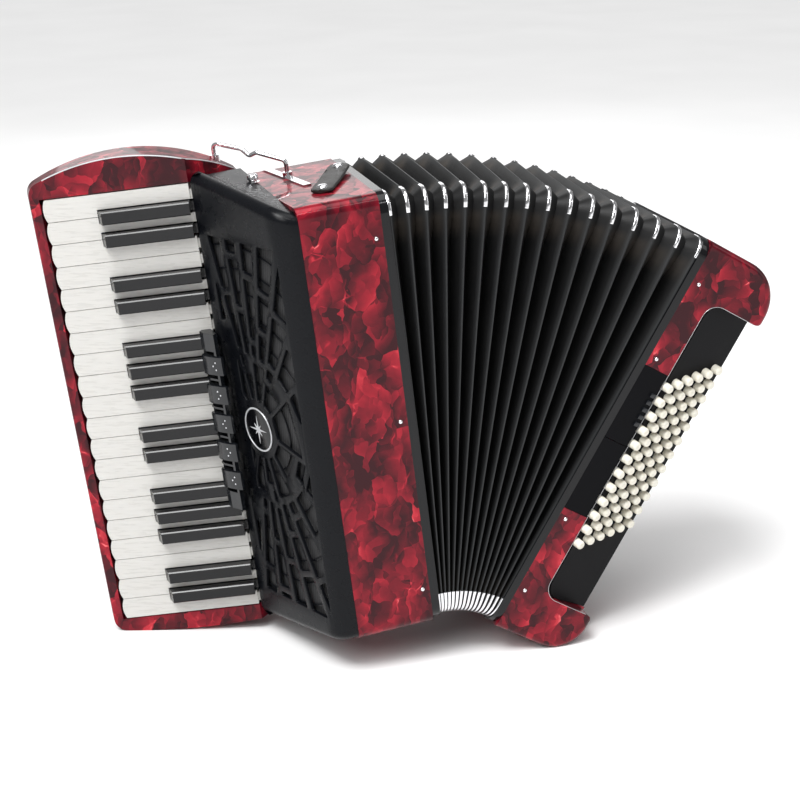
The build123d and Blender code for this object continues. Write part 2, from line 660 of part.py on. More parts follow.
def bass_casing():
    """C-shaped shell: red arms above and below the button board, open towards the bellows."""
    body = bass_outline()
    front_edges = body.faces().sort_by(Axis.Y)[0].edges()
    front_edges = front_edges.filter_by(lambda e: e.center().X > 1)
    body = fillet(front_edges, FRONT_EDGE_RADIUS)
    recess = prism(board_recess(6.0), BOARD_LOW_Z, BOARD_HIGH_Z)
    inner_edges = recess.edges().filter_by(Axis.Y).group_by(Axis.X)[0]
    recess = fillet(inner_edges, RECESS_CORNER)
    body = body - recess
    body = body - block(-1, BOARD_FRONT_X + 4, -1, 12, PANEL_LOW_Z, PANEL_HIGH_Z)
    hollow = block(-1, BASS_THICKNESS - WALL, 14, BODY_DEPTH - WALL, WALL, BODY_HEIGHT - WALL)
    backing = prism(board_recess(18.0), BOARD_LOW_Z - WALL, BOARD_HIGH_Z + WALL)
    window = block(0.2, BOARD_WIDTH, 1, 11, BOARD_LOW_Z + 8, BOARD_HIGH_Z - 8)
    window = BOARD_FRAME * (window + block(4, 50, 10, 40, BOARD_LOW_Z + 8, BOARD_HIGH_Z - 8))
    body = body - (hollow - (backing - window)) - window
    body = body - arm_tip(BOARD_LOW_Z, BOARD_LOW_Z - ARM_TIP_RADIUS)
    body = body - arm_tip(BOARD_HIGH_Z, BOARD_HIGH_Z + ARM_TIP_RADIUS)
    air_place = Location((BASS_THICKNESS, AIR_BUTTON_Y, AIR_BUTTON_Z)) * Rotation(0, 90, 0)
    return body - air_place * Cylinder(AIR_STEM_RADIUS + RUNNING_CLEARANCE, 30)


def button_place(row, column):
    """Distance across the board and height of one button."""
    across = FIRST_ROW_ACROSS + BUTTON_ROW_PITCH * row
    return across, FIRST_BUTTON_Z - BUTTON_PITCH * column + BUTTON_SHEAR * row


def button_board():
    """Sloping board with a clearance hole for every button."""
    board = block(3.2, BOARD_WIDTH, 1.0, 1.0 + BOARD_THICKNESS, BOARD_LOW_Z + 0.4, BOARD_HIGH_Z - 0.4)
    inner_edges = board.edges().filter_by(Axis.Y).group_by(Axis.X)[0]
    board = BOARD_FRAME * fillet(inner_edges, RECESS_CORNER / SLOPE_COS + 1)
    holes = []
    for row in range(BUTTON_ROWS):
        for column in range(BUTTON_COLUMNS):
            across, z = button_place(row, column)
            place = BOARD_FRAME * Location((across, 2, z)) * Rotation(90, 0, 0)
            holes.append(place * Cylinder(BUTTON_RADIUS + 0.35, 12))
    return board - holes


def bass_buttons(rows):
    buttons = []
    for row in rows:
        for column in range(BUTTON_COLUMNS):
            across, z = button_place(row, column)
            middle_v = BUTTON_LENGTH / 2 - BUTTON_STAND
            place = BOARD_FRAME * Location((across, middle_v, z)) * Rotation(90, 0, 0)
            button = Cylinder(BUTTON_RADIUS, BUTTON_LENGTH)
            button = fillet(button.edges().sort_by(Axis.Z)[-1], 2.0)
            buttons.append(place * button)
    return group(buttons)


def bass_front_panels():
    """Two black panels that fill the front between the red arms."""
    middle = (PANEL_LOW_Z + PANEL_HIGH_Z) / 2
    edge_x = BOARD_FRONT_X - 0.8
    lower = block(0.3, edge_x, 0.3, PANEL_BACK, PANEL_LOW_Z + 0.3, middle - 0.3)
    upper = block(0.3, edge_x, 0.3, PANEL_BACK, middle + 0.3, PANEL_HIGH_Z - 0.3)
    return group([lower, upper])


def bass_reed_block():
    """Soundboard with two reed blocks behind the bass casing's mouth."""
    board = block(3, 8, 20, BODY_DEPTH - WALL - 0.5, WALL + 0.5, BODY_HEIGHT - WALL - 0.5)
    low = block(8.2, 34, 76, 96, 60, 320)
    high = block(8.2, 34, 116, 136, 60, 320)
    return group([board, low, high])


def hand_strap():
    """Leather strap that bows off the outer face, for the left hand."""
    x = BASS_THICKNESS
    middle_y = 112
    outer = make_face(Curve() + [
        ThreePointArc((x + 0.3, 38), (x + 31, 190), (x + 0.3, 342)),
        Line((x + 0.3, 342), (x + 0.3, 330)),
        ThreePointArc((x + 0.3, 330), (x + 27.5, 190), (x + 0.3, 50)),
        Line((x + 0.3, 50), (x + 0.3, 38)),
    ])
    plane = Plane(origin=(0, middle_y - 32, 0), x_dir=(1, 0, 0), z_dir=(0, -1, 0))
    return extrude(plane * outer, amount=-64)


def air_button():
    """Button that opens the air valve, on the outer face by the hand strap."""
    stem = Rotation(0, 90, 0) * Cylinder(AIR_STEM_RADIUS, 16)
    head = Rotation(0, 90, 0) * Cylinder(6.5, 4)
    place = Location((BASS_THICKNESS, AIR_BUTTON_Y, AIR_BUTTON_Z))
    return place * (stem + Location((9, 0, 0)) * head)


# ---- write every node ----
def build():
    nodes = {}
    for index in range(1, WHITE_COUNT + 1):
        nodes["white_key_%02d" % index] = white_key(index)
    for number, index in enumerate(BLACK_AFTER, 1):
        nodes["black_key_%02d" % number] = black_key(index)
    nodes["treble_casing"] = treble_casing()
    nodes["treble_soundboard"] = treble_soundboard()
    nodes["treble_reed_blocks"] = treble_reed_blocks()
    nodes["keyboard_bed"] = keyboard_bed()
    nodes["key_axle"] = key_axle()
    nodes["grille_cover"] = grille_cover()
    nodes["grille_cloth"] = grille_cloth()
    nodes["register_housing"] = register_housing()
    for index in range(REGISTER_COUNT):
        nodes["register_switch_%d" % (index + 1)] = register_switch(index)
    nodes["strap_bracket"] = strap_bracket()
    nodes["bellows_strap"] = bellows_strap()
    nodes["treble_bellows_frame"] = frame_ring(0.0, FRAME_THICKNESS)
    nodes["bellows_pleats"] = bellows_pleats()
    nodes["bass_bellows_frame"] = BASS_FRAME * frame_ring(-FRAME_THICKNESS, 0.0)
    nodes["bass_casing"] = BASS_FRAME * bass_casing()
    nodes["button_board"] = BASS_FRAME * button_board()
    nodes["bass_note_buttons"] = BASS_FRAME * bass_buttons(range(0, 2))
    nodes["bass_chord_buttons"] = BASS_FRAME * bass_buttons(range(2, BUTTON_ROWS))
    nodes["bass_front_panels"] = BASS_FRAME * bass_front_panels()
    nodes["bass_reed_block"] = BASS_FRAME * bass_reed_block()
    nodes["hand_strap"] = BASS_FRAME * hand_strap()
    nodes["air_button"] = BASS_FRAME * air_button()
    for node, shape in nodes.items():
        save(node, shape)
    return nodes


if __name__ == "__main__":
    build()
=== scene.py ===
import math
import bmesh
import bpy
from mathutils import Matrix, Vector
from mathutils.geometry import delaunay_2d_cdt


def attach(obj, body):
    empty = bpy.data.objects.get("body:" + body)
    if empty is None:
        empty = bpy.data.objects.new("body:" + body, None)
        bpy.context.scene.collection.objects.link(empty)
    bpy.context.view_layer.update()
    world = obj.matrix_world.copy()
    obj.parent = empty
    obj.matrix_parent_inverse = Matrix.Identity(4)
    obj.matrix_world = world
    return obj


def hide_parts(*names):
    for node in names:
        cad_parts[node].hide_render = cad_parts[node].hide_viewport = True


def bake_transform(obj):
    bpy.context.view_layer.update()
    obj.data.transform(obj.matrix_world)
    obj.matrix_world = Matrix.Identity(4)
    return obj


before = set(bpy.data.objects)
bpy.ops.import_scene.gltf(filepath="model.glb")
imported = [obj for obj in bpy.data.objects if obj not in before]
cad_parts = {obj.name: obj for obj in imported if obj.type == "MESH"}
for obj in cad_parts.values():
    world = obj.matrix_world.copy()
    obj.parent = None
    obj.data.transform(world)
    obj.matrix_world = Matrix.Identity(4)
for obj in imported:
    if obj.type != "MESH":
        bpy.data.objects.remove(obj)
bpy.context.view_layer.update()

# Sizes are in millimetres inside the helpers. UP carries the upright treble frame (x towards the
# bellows, y from front to player, z up the keyboard) into the standing row frame in metres.
STANCE_ANGLE = -6.5405
STANCE_SHIFT = (-0.88, -82.90, 40.827)
FAN_ANGLE = 36.8
BASS_SHIFT = (54.511, 0.0, -18.133)
KEY_TILT = 15.8
KEY_LINE = (-131.0, 114.0)
BODY_HEIGHT = 379.0
REGISTER_MIDDLE = 186.0
REGISTER_PITCH = 26.2
BODY_DEPTH = 166.0
FRAME_THICKNESS = 7.0
APEX_Z = -69.96
BASS_THICKNESS = 81.0


def metres(vector):
    """Millimetres to metres."""
    return Vector(vector) * 0.001


UP = (
    Matrix.Translation(metres(STANCE_SHIFT))
    @ Matrix.Rotation(math.radians(STANCE_ANGLE), 4, "Y")
    @ Matrix.Scale(0.001, 4)
)
BASS = UP @ Matrix.Translation(BASS_SHIFT) @ Matrix.Rotation(math.radians(FAN_ANGLE), 4, "Y")
KEYS = UP @ Matrix.Translation((*KEY_LINE, 0)) @ Matrix.Rotation(math.radians(180 - KEY_TILT), 4, "Z")


# ---------------------------------------------------------------- materials
def new_material(name):
    """Empty node material with one shader."""
    material = bpy.data.materials.new(name)
    material.use_nodes = True
    nodes = material.node_tree.nodes
    nodes.clear()
    output = nodes.new("ShaderNodeOutputMaterial")
    shader = nodes.new("ShaderNodeBsdfPrincipled")
    material.node_tree.links.new(shader.outputs[0], output.inputs[0])
    return material, material.node_tree, shader


def node(tree, kind, inputs=None, **settings):
    """New node; an input may be another node's socket or a plain value."""
    made = tree.nodes.new(kind)
    for key, value in settings.items():
        setattr(made, key, value)
    for key, value in (inputs or {}).items():
        if isinstance(value, bpy.types.NodeSocket):
            tree.links.new(value, made.inputs[key])
        else:
            made.inputs[key].default_value = value
    return made


def ramp(tree, factor, stops):
    """Colours that shade into each other along a factor."""
    made = node(tree, "ShaderNodeValToRGB", {"Fac": factor})
    elements = made.color_ramp.elements
    while len(elements) < len(stops):
        elements.new(0.5)
    for element, (place, colour) in zip(elements, stops):
        element.position = place
        element.color = (*colour, 1.0)
    return made.outputs["Color"]


def vector_maths(tree, operation, a, b=None):
    """Vector arithmetic; b is the second vector, or the factor of a scaling."""
    inputs = {0: a}
    if b is not None:
        inputs["Scale" if operation == "SCALE" else 1] = b
    made = node(tree, "ShaderNodeVectorMath", inputs, operation=operation)
    return made.outputs["Value" if operation == "DOT_PRODUCT" else 0]


def noise(tree, place, scale, detail, roughness=0.5):
    """Cloudy pattern between 0 and 1."""
    inputs = {"Vector": place, "Scale": scale, "Detail": detail, "Roughness": roughness}
    return node(tree, "ShaderNodeTexNoise", inputs)


def maths(tree, operation, a, b=0.0, c=0.0, clamp=False):
    """Plain arithmetic on sockets or values."""
    made = node(tree, "ShaderNodeMath", operation=operation, use_clamp=clamp)
    for slot, value in enumerate((a, b, c)):
        if isinstance(value, bpy.types.NodeSocket):
            tree.links.new(value, made.inputs[slot])
        else:
            made.inputs[slot].default_value = value
    return made.outputs[0]


def bump(tree, shader, height, strength, distance):
    """Fine relief on a surface."""
    made = node(tree, "ShaderNodeBump", {"Height": height, "Strength": strength, "Distance": distance})
    tree.links.new(made.outputs["Normal"], shader.inputs["Normal"])


def coordinates(tree):
    """Place on the object itself."""
    return node(tree, "ShaderNodeTexCoord").outputs["Object"]


def surface(name, colour, roughness, metallic=0.0, coat=0.0, grain=600.0, variation=0.25, relief=0.0,
            specular=0.5):
    """Plain finish with a little unevenness in its colour and gloss."""
    material, tree, shader = new_material(name)
    place = coordinates(tree)
    fine = noise(tree, place, grain, 3.0)
    broad = noise(tree, place, grain * 0.04, 4.0)
    darker = tuple(c * (1 - variation) for c in colour)
    shades = [(0.3, darker), (0.7, colour)]
    tree.links.new(ramp(tree, broad.outputs["Fac"], shades), shader.inputs["Base Color"])
    rough = maths(tree, "MULTIPLY_ADD", broad.outputs["Fac"], roughness * 0.5, roughness * 0.75)
    tree.links.new(rough, shader.inputs["Roughness"])
    shader.inputs["Metallic"].default_value = metallic
    shader.inputs["Coat Weight"].default_value = coat
    shader.inputs["Coat Roughness"].default_value = 0.04
    shader.inputs["Specular IOR Level"].default_value = specular
    if relief:
        bump(tree, shader, fine.outputs["Fac"], 0.5, relief)
    return material


def pearl():
    """Red pearl celluloid: crumpled flakes, each shading from dark to bright as painted sheen, with painted
    highlights along some flake edges, under a clear gloss.
    """
    material, tree, shader = new_material("red_pearl")
    place = coordinates(tree)
    warp = noise(tree, place, 26.0, 3.0, 0.55)
    centre = (0.5, 0.5, 0.5)
    shift = vector_maths(tree, "SUBTRACT", warp.outputs["Color"], centre)
    bent = vector_maths(tree, "ADD", place, vector_maths(tree, "SCALE", shift, 0.03))
    layers = []
    for scale, angle in ((50.0, 0.5), (118.0, 1.3)):
        turned = node(tree, "ShaderNodeMapping", {"Vector": bent, "Rotation": (angle, angle * 0.6, 0.4),
                                                  "Scale": (1.0, 1.0, 0.62)}).outputs[0]
        cells = node(tree, "ShaderNodeTexVoronoi", {"Vector": turned, "Scale": scale},
                     feature="F1", distance="EUCLIDEAN")
        scaled = vector_maths(tree, "SCALE", turned, scale)
        corner = vector_maths(tree, "SCALE", cells.outputs["Position"], scale)
        inside = vector_maths(tree, "SUBTRACT", scaled, corner)
        way = vector_maths(tree, "NORMALIZE", vector_maths(tree, "SUBTRACT", cells.outputs["Color"], centre))
        layers.append(vector_maths(tree, "DOT_PRODUCT", inside, way))
    # The flakes are the pearl's own pattern; each one's shading from dark to bright across itself is painted
    # sheen.
    wide = maths(tree, "MULTIPLY_ADD", layers[0], 0.62, 0.42)
    both = maths(tree, "MULTIPLY_ADD", layers[1], 0.30, wide, clamp=True)
    cloud = noise(tree, bent, 34.0, 7.0, 0.68)
    mixed = maths(tree, "MULTIPLY_ADD", cloud.outputs["Fac"], 0.6, maths(tree, "SUBTRACT", both, 0.34),
                  clamp=True)
    # Painted highlights: bright lines along some flake edges, shown only in patches.
    border = node(tree, "ShaderNodeTexVoronoi", {"Vector": bent, "Scale": 44.0}, feature="DISTANCE_TO_EDGE")
    patchy = noise(tree, place, 48.0, 2.0)
    crease_highlight = maths(tree, "MULTIPLY_ADD", border.outputs["Distance"], -22.0, 1.0, clamp=True)
    highlight_patches = maths(tree, "MULTIPLY_ADD", patchy.outputs["Fac"], 7.0, -3.9, clamp=True)
    crease_highlight = maths(tree, "MULTIPLY", crease_highlight, highlight_patches)
    mixed = maths(tree, "MULTIPLY_ADD", crease_highlight, 0.6, mixed, clamp=True)
    # The ramp's top, pinkish stop is painted highlight; the lower stops are the pearl's own reds.
    colour = ramp(tree, mixed, [
        (0.00, (0.030, 0.001, 0.004)),
        (0.25, (0.095, 0.002, 0.008)),
        (0.50, (0.20, 0.004, 0.014)),
        (0.74, (0.33, 0.009, 0.022)),
        (0.92, (0.52, 0.030, 0.045)),
        (1.00, (0.74, 0.13, 0.14)),
    ])
    tree.links.new(colour, shader.inputs["Base Color"])
    tree.links.new(maths(tree, "MULTIPLY_ADD", mixed, -0.2, 0.45), shader.inputs["Roughness"])
    shader.inputs["Metallic"].default_value = 0.2
    shader.inputs["Specular IOR Level"].default_value = 0.12
    shader.inputs["Coat IOR"].default_value = 1.38
    shader.inputs["Coat Weight"].default_value = 0.5
    shader.inputs["Coat Roughness"].default_value = 0.03
    bump(tree, shader, both, 0.10, 0.0006)
    return material


def bellows_cloth():
    """Black cloth with a fine weave, greyer along the fold edges as painted highlight, and brown at the
    gussets.
    """
    material, tree, shader = new_material("bellows_cloth")
    place = coordinates(tree)
    weave = noise(tree, place, 1800.0, 2.0)
    broad = noise(tree, place, 30.0, 4.0)
    edge = node(tree, "ShaderNodeAttribute", attribute_name="fold_edge_highlight", attribute_type="GEOMETRY")
    gusset = node(tree, "ShaderNodeAttribute", attribute_name="gusset", attribute_type="GEOMETRY")
    shades = [(0.3, (0.0040, 0.0040, 0.0042)), (0.7, (0.0065, 0.0065, 0.0068))]
    base = ramp(tree, broad.outputs["Fac"], shades)
    # Painted highlight: the cloth turns grey along the fold ridges.
    ridge_highlight = node(tree, "ShaderNodeMix", data_type="RGBA")
    tree.links.new(edge.outputs["Fac"], ridge_highlight.inputs[0])
    tree.links.new(base, ridge_highlight.inputs[6])
    ridge_highlight.inputs[7].default_value = (0.024, 0.025, 0.026, 1)
    brown = node(tree, "ShaderNodeMix", data_type="RGBA")
    tree.links.new(gusset.outputs["Fac"], brown.inputs[0])
    tree.links.new(ridge_highlight.outputs[2], brown.inputs[6])
    brown.inputs[7].default_value = (0.030, 0.024, 0.019, 1)
    tree.links.new(brown.outputs[2], shader.inputs["Base Color"])
    shader.inputs["Roughness"].default_value = 0.5
    shader.inputs["Specular IOR Level"].default_value = 0.22
    bump(tree, shader, weave.outputs["Fac"], 0.35, 0.0002)
    return material


def leather():
    """Black leather with a fine grain and soft creases."""
    material, tree, shader = new_material("black_leather")
    place = coordinates(tree)
    grain = node(tree, "ShaderNodeTexVoronoi", {"Vector": place, "Scale": 900.0}, feature="F1")
    creases = noise(tree, place, 120.0, 6.0)
    shades = [(0.35, (0.006, 0.005, 0.005)), (0.7, (0.016, 0.014, 0.012))]
    tree.links.new(ramp(tree, creases.outputs["Fac"], shades), shader.inputs["Base Color"])
    tree.links.new(maths(tree, "MULTIPLY_ADD", creases.outputs["Fac"], 0.3, 0.3), shader.inputs["Roughness"])
    height = maths(tree, "MULTIPLY_ADD", creases.outputs["Fac"], 0.6, grain.outputs["Distance"])
    bump(tree, shader, height, 0.35, 0.0004)
    return material


def mesh_cloth():
    """Fine black grille cloth with square holes."""
    material, tree, shader = new_material("grille_mesh")
    place = coordinates(tree)
    waves = []
    for axis in ("X", "Z"):
        wave = node(tree, "ShaderNodeTexWave", {"Vector": place, "Scale": 260.0}, wave_type="BANDS",
                    bands_direction=axis)
        waves.append(wave.outputs["Fac"])
    threads = maths(tree, "MAXIMUM", waves[0], waves[1])
    tree.links.new(ramp(tree, threads, [(0.2, (0.003, 0.003, 0.003)), (0.9, (0.028, 0.028, 0.030))]),
                   shader.inputs["Base Color"])
    shader.inputs["Roughness"].default_value = 0.8
    bump(tree, shader, threads, 0.5, 0.0003)
    return material


def ivory(name, light, dark, roughness):
    """Moulded ivory-coloured plastic under a clear gloss, with faint streaks."""
    material, tree, shader = new_material(name)
    place = coordinates(tree)
    streaks = node(tree, "ShaderNodeMapping", {"Vector": place, "Scale": (1.0, 1.0, 9.0)})
    drift = noise(tree, streaks.outputs[0], 60.0, 4.0).outputs["Fac"]
    tree.links.new(ramp(tree, drift, [(0.3, dark), (0.7, light)]), shader.inputs["Base Color"])
    tree.links.new(maths(tree, "MULTIPLY_ADD", drift, 0.08, roughness), shader.inputs["Roughness"])
    shader.inputs["Coat Weight"].default_value = 0.3
    shader.inputs["Coat Roughness"].default_value = 0.06
    shader.inputs["Subsurface Weight"].default_value = 0.06
    shader.inputs["Subsurface Radius"].default_value = (0.004, 0.003, 0.002)
    return material


def wood(name):
    """Pale straight-grained wood."""
    material, tree, shader = new_material(name)
    inputs = {"Vector": coordinates(tree), "Scale": 60.0, "Distortion": 6.0, "Detail": 3.0}
    grain = node(tree, "ShaderNodeTexWave", inputs, bands_direction="Z")
    tree.links.new(ramp(tree, grain.outputs["Fac"], [(0.0, (0.36, 0.22, 0.10)), (1.0, (0.58, 0.40, 0.22))]),
                   shader.inputs["Base Color"])
    shader.inputs["Roughness"].default_value = 0.55
    return material


RED = pearl()
SATIN_BLACK = surface("satin_black", (0.0040, 0.0045, 0.0060), 0.28, grain=2500, variation=0.15,
                      relief=0.00005, specular=0.15)
GLOSS_BLACK = surface("gloss_black", (0.004, 0.004, 0.005), 0.14, coat=0.25, variation=0.2, specular=0.2)
KEY_BLACK = surface("black_keys", (0.004, 0.004, 0.005), 0.18, coat=0.15, variation=0.2, specular=0.3)
REGISTER_BLACK = surface("register_black", (0.007, 0.008, 0.010), 0.20, coat=0.2, variation=0.2, specular=0.4)
PANEL_BLACK = surface("panel_black", (0.0030, 0.0030, 0.0040), 0.42, variation=0.2, specular=0.08)
CHROME = surface("chrome_wire", (0.86, 0.86, 0.88), 0.10, metallic=1.0, variation=0.1)
STEEL = surface("brushed_steel", (0.55, 0.55, 0.56), 0.32, metallic=1.0, relief=0.00004)
SILVER_PRINT = surface("silver_print", (0.62, 0.63, 0.65), 0.35, metallic=0.3)
RUBBER = surface("black_rubber", (0.015, 0.015, 0.015), 0.7, relief=0.0001)
THREAD = surface("thread", (0.05, 0.05, 0.05), 0.8, relief=0.0001)
CLOTH = bellows_cloth()
LEATHER = leather()
MESH_CLOTH = mesh_cloth()
WHITE_KEYS = ivory("ivory_keys", (0.58, 0.57, 0.545), (0.53, 0.52, 0.495), 0.24)
BUTTONS = ivory("ivory_buttons", (0.78, 0.75, 0.66), (0.70, 0.67, 0.57), 0.22)
SPRUCE = wood("spruce")


# ---------------------------------------------------------------- mesh helpers
def finish_mesh(name, bm, matrix, material, body, smooth=35.0):
    """Turn a mesh drawn in millimetres into an object in the row frame; it rides its body, if it has one."""
    bm.transform(matrix)
    bmesh.ops.recalc_face_normals(bm, faces=bm.faces[:])
    data = bpy.data.meshes.new(name)
    bm.to_mesh(data)
    bm.free()
    data.materials.append(material)
    obj = bpy.data.objects.new(name, data)
    bpy.context.scene.collection.objects.link(obj)
    smooth_by_angle(obj, smooth)
    if body:
        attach(obj, body)
    return obj


def smooth_by_angle(obj, degrees):
    """Smooth shading, with edges sharper than the angle kept sharp."""
    obj.data.shade_smooth()
    limit = math.radians(degrees)
    bm = bmesh.new()
    bm.from_mesh(obj.data)
    for edge in bm.edges:
        edge.smooth = len(edge.link_faces) == 2 and edge.calc_face_angle(0.0) < limit
    bm.to_mesh(obj.data)
    bm.free()


def rounded_block(bm, low, high, radius, segments=3):
    """Block between two corners with rounded edges."""
    size = Vector(high) - Vector(low)
    centre = (Vector(high) + Vector(low)) / 2
    made = bmesh.ops.create_cube(bm, size=1.0)
    bmesh.ops.scale(bm, vec=size, verts=made["verts"])
    edges = list({edge for vert in made["verts"] for edge in vert.link_edges})
    result = bmesh.ops.bevel(bm, geom=edges, offset=radius, segments=segments, profile=0.5, affect="EDGES")
    verts = list({vert for face in result["faces"] for vert in face.verts})
    bmesh.ops.transform(bm, matrix=Matrix.Translation(centre), verts=verts)


def lathe(bm, profile, matrix, steps=24):
    """Turn a list of (radius, height) about the local z axis."""
    rings = []
    for radius, height in profile:
        if radius < 1e-6:
            rings.append([bm.verts.new(matrix @ Vector((0, 0, height)))])
            continue
        ring = []
        for step in range(steps):
            angle = 2 * math.pi * step / steps
            point = Vector((radius * math.cos(angle), radius * math.sin(angle), height))
            ring.append(bm.verts.new(matrix @ point))
        rings.append(ring)
    for low, high in zip(rings, rings[1:]):
        for step in range(steps):
            following = (step + 1) % steps
            if len(low) == 1:
                bm.faces.new((low[0], high[step], high[following]))
            elif len(high) == 1:
                bm.faces.new((low[step], low[following], high[0]))
            else:
                bm.faces.new((low[step], low[following], high[following], high[step]))


def smooth_path(points, steps=8):
    """Points along a rounded line through the given ones."""
    points = [Vector(p) for p in points]
    padded = [2 * points[0] - points[1]] + points + [2 * points[-1] - points[-2]]
    path = []
    for index in range(1, len(padded) - 2):
        a, b, c, d = padded[index - 1:index + 3]
        for step in range(steps):
            t = step / steps
            path.append(0.5 * ((2 * b) + (c - a) * t + (2 * a - 5 * b + 4 * c - d) * t * t
                               + (3 * b - a - 3 * c + d) * t * t * t))
    path.append(points[-1])
    return path


def join_rings(bm, rings, capped=False):
    """Skin neighbouring rings of points, and close both ends if capped."""
    for low, high in zip(rings, rings[1:]):
        for step in range(len(low)):
            following = (step + 1) % len(low)
            bm.faces.new((low[step], low[following], high[following], high[step]))
    if capped:
        bm.faces.new(rings[0][::-1])
        bm.faces.new(rings[-1])


def tube(bm, path, radius, sides=12):
    """Round bar along a path, with closed ends."""
    rings = []
    normal = None
    for index, point in enumerate(path):
        before = path[max(index - 1, 0)]
        after = path[min(index + 1, len(path) - 1)]
        tangent = (after - before).normalized()
        if normal is None:
            normal = tangent.orthogonal().normalized()
        normal = (normal - tangent * normal.dot(tangent)).normalized()
        side = tangent.cross(normal)
        ring = []
        for step in range(sides):
            angle = 2 * math.pi * step / sides
            offset = normal * math.cos(angle) * radius + side * math.sin(angle) * radius
            ring.append(bm.verts.new(point + offset))
        rings.append(ring)
    join_rings(bm, rings, capped=True)


def cross_sections(bm, sections):
    """Skin a list of equal closed outlines into a solid."""
    join_rings(bm, [[bm.verts.new(p) for p in section] for section in sections], capped=True)


def edge_rounding(obj, width, segments=2, angle=40.0):
    """Small rounded edges on a CAD node, as a modifier."""
    modifier = obj.modifiers.new("edge_rounding", "BEVEL")
    modifier.width = width * 0.001
    modifier.segments = segments
    modifier.limit_method = "ANGLE"
    modifier.angle_limit = math.radians(angle)
    modifier.use_clamp_overlap = True
    modifier.harden_normals = False


# ---------------------------------------------------------------- CAD nodes that stay
def paint(names, material, rounding=0.0, segments=2):
    """Give CAD nodes their material and rounded edges."""
    for name in names:
        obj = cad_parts[name]
        for slot in obj.material_slots:
            slot.material = material
        if not obj.material_slots:
            obj.data.materials.append(material)
        if rounding:
            edge_rounding(obj, rounding, segments)


white_keys = [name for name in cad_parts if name.startswith("white_key")]
black_keys = [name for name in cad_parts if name.startswith("black_key")]
paint(white_keys, WHITE_KEYS, 0.45)
paint(black_keys, KEY_BLACK, 0.5)
paint(["treble_casing", "keyboard_bed", "bass_casing"], RED)
paint(["register_housing"], REGISTER_BLACK, 1.2, 3)
paint(["treble_bellows_frame", "bass_bellows_frame"], GLOSS_BLACK, 1.2, 3)
paint(["button_board"], PANEL_BLACK)
paint(["bass_front_panels"], PANEL_BLACK, 0.5)
paint(["bass_note_buttons", "bass_chord_buttons", "air_button"], BUTTONS)
paint(["strap_bracket"], CHROME)
paint(["key_axle"], STEEL)
paint(["treble_soundboard", "treble_reed_blocks", "bass_reed_block"], SPRUCE)


# ---------------------------------------------------------------- bellows
FOLDS = 16
PLEAT_TOP = 447.0
PLEAT_BOTTOM = 72.5
PLEAT_FRONT = 1.5
PLEAT_BACK = 164.5
PLEAT_CORNER = 14.0
VALLEY_DEPTH = 17.0
CORNER_DEPTH = 6.5


def fold_angle(index, depth):
    """Angle of a fold from the treble frame. The folds are a little closer at the treble side."""
    front = 0.15 + 1.94 * index + 0.033 * index * index
    bow = 3.1 * math.sin(math.pi * (index / (FOLDS - 1)) ** 1.3)
    return front + bow * (depth - PLEAT_FRONT) / (PLEAT_BACK - PLEAT_FRONT)


def pleat_outline():
    """Points (y, r) round one fold, each with its inward direction and its nearness to a corner."""
    half_depth = (PLEAT_BACK - PLEAT_FRONT) / 2
    half_height = (PLEAT_TOP - PLEAT_BOTTOM) / 2
    middle = Vector(((PLEAT_BACK + PLEAT_FRONT) / 2, (PLEAT_TOP + PLEAT_BOTTOM) / 2))
    points = []
    corners = [(-1, 1), (1, 1), (1, -1), (-1, -1)]
    start_angles = [180, 90, 0, -90]
    for corner, start in zip(corners, start_angles):
        reach = Vector((half_depth - PLEAT_CORNER, half_height - PLEAT_CORNER))
        centre = middle + Vector((corner[0] * reach.x, corner[1] * reach.y))
        for step in range(13):
            angle = math.radians(start - 90 * step / 12)
            out = Vector((math.cos(angle), math.sin(angle)))
            points.append((centre + out * PLEAT_CORNER, -out, 1.0))
        after = corners[(corners.index(corner) + 1) % 4]
        next_centre = middle + Vector((after[0] * reach.x, after[1] * reach.y))
        out = Vector((math.cos(math.radians(start - 90)), math.sin(math.radians(start - 90))))
        length = (next_centre - centre).length
        steps = 26
        for step in range(1, steps):
            share = step / steps
            # stations crowd towards both corners
            share = 0.5 - 0.5 * math.cos(math.pi * share)
            along = share * length
            near = min(along, length - along)
            closeness = max(0.0, 1.0 - near / 34.0)
            points.append((centre + (next_centre - centre) * share + out * PLEAT_CORNER, -out, closeness))
    return points


OUTLINE = pleat_outline()


def fan_place(angle, depth, radius, aside=0.0):
    """Upright-frame point at a fan angle, shifted aside square to the fold."""
    turn = math.radians(angle)
    x = FRAME_THICKNESS + radius * math.sin(turn) + aside * math.cos(turn)
    z = APEX_Z + radius * math.cos(turn) - aside * math.sin(turn)
    return Vector((x, depth, z))


def blend_exactly(obj):
    """Bake the object's placement into its points."""
    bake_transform(obj)


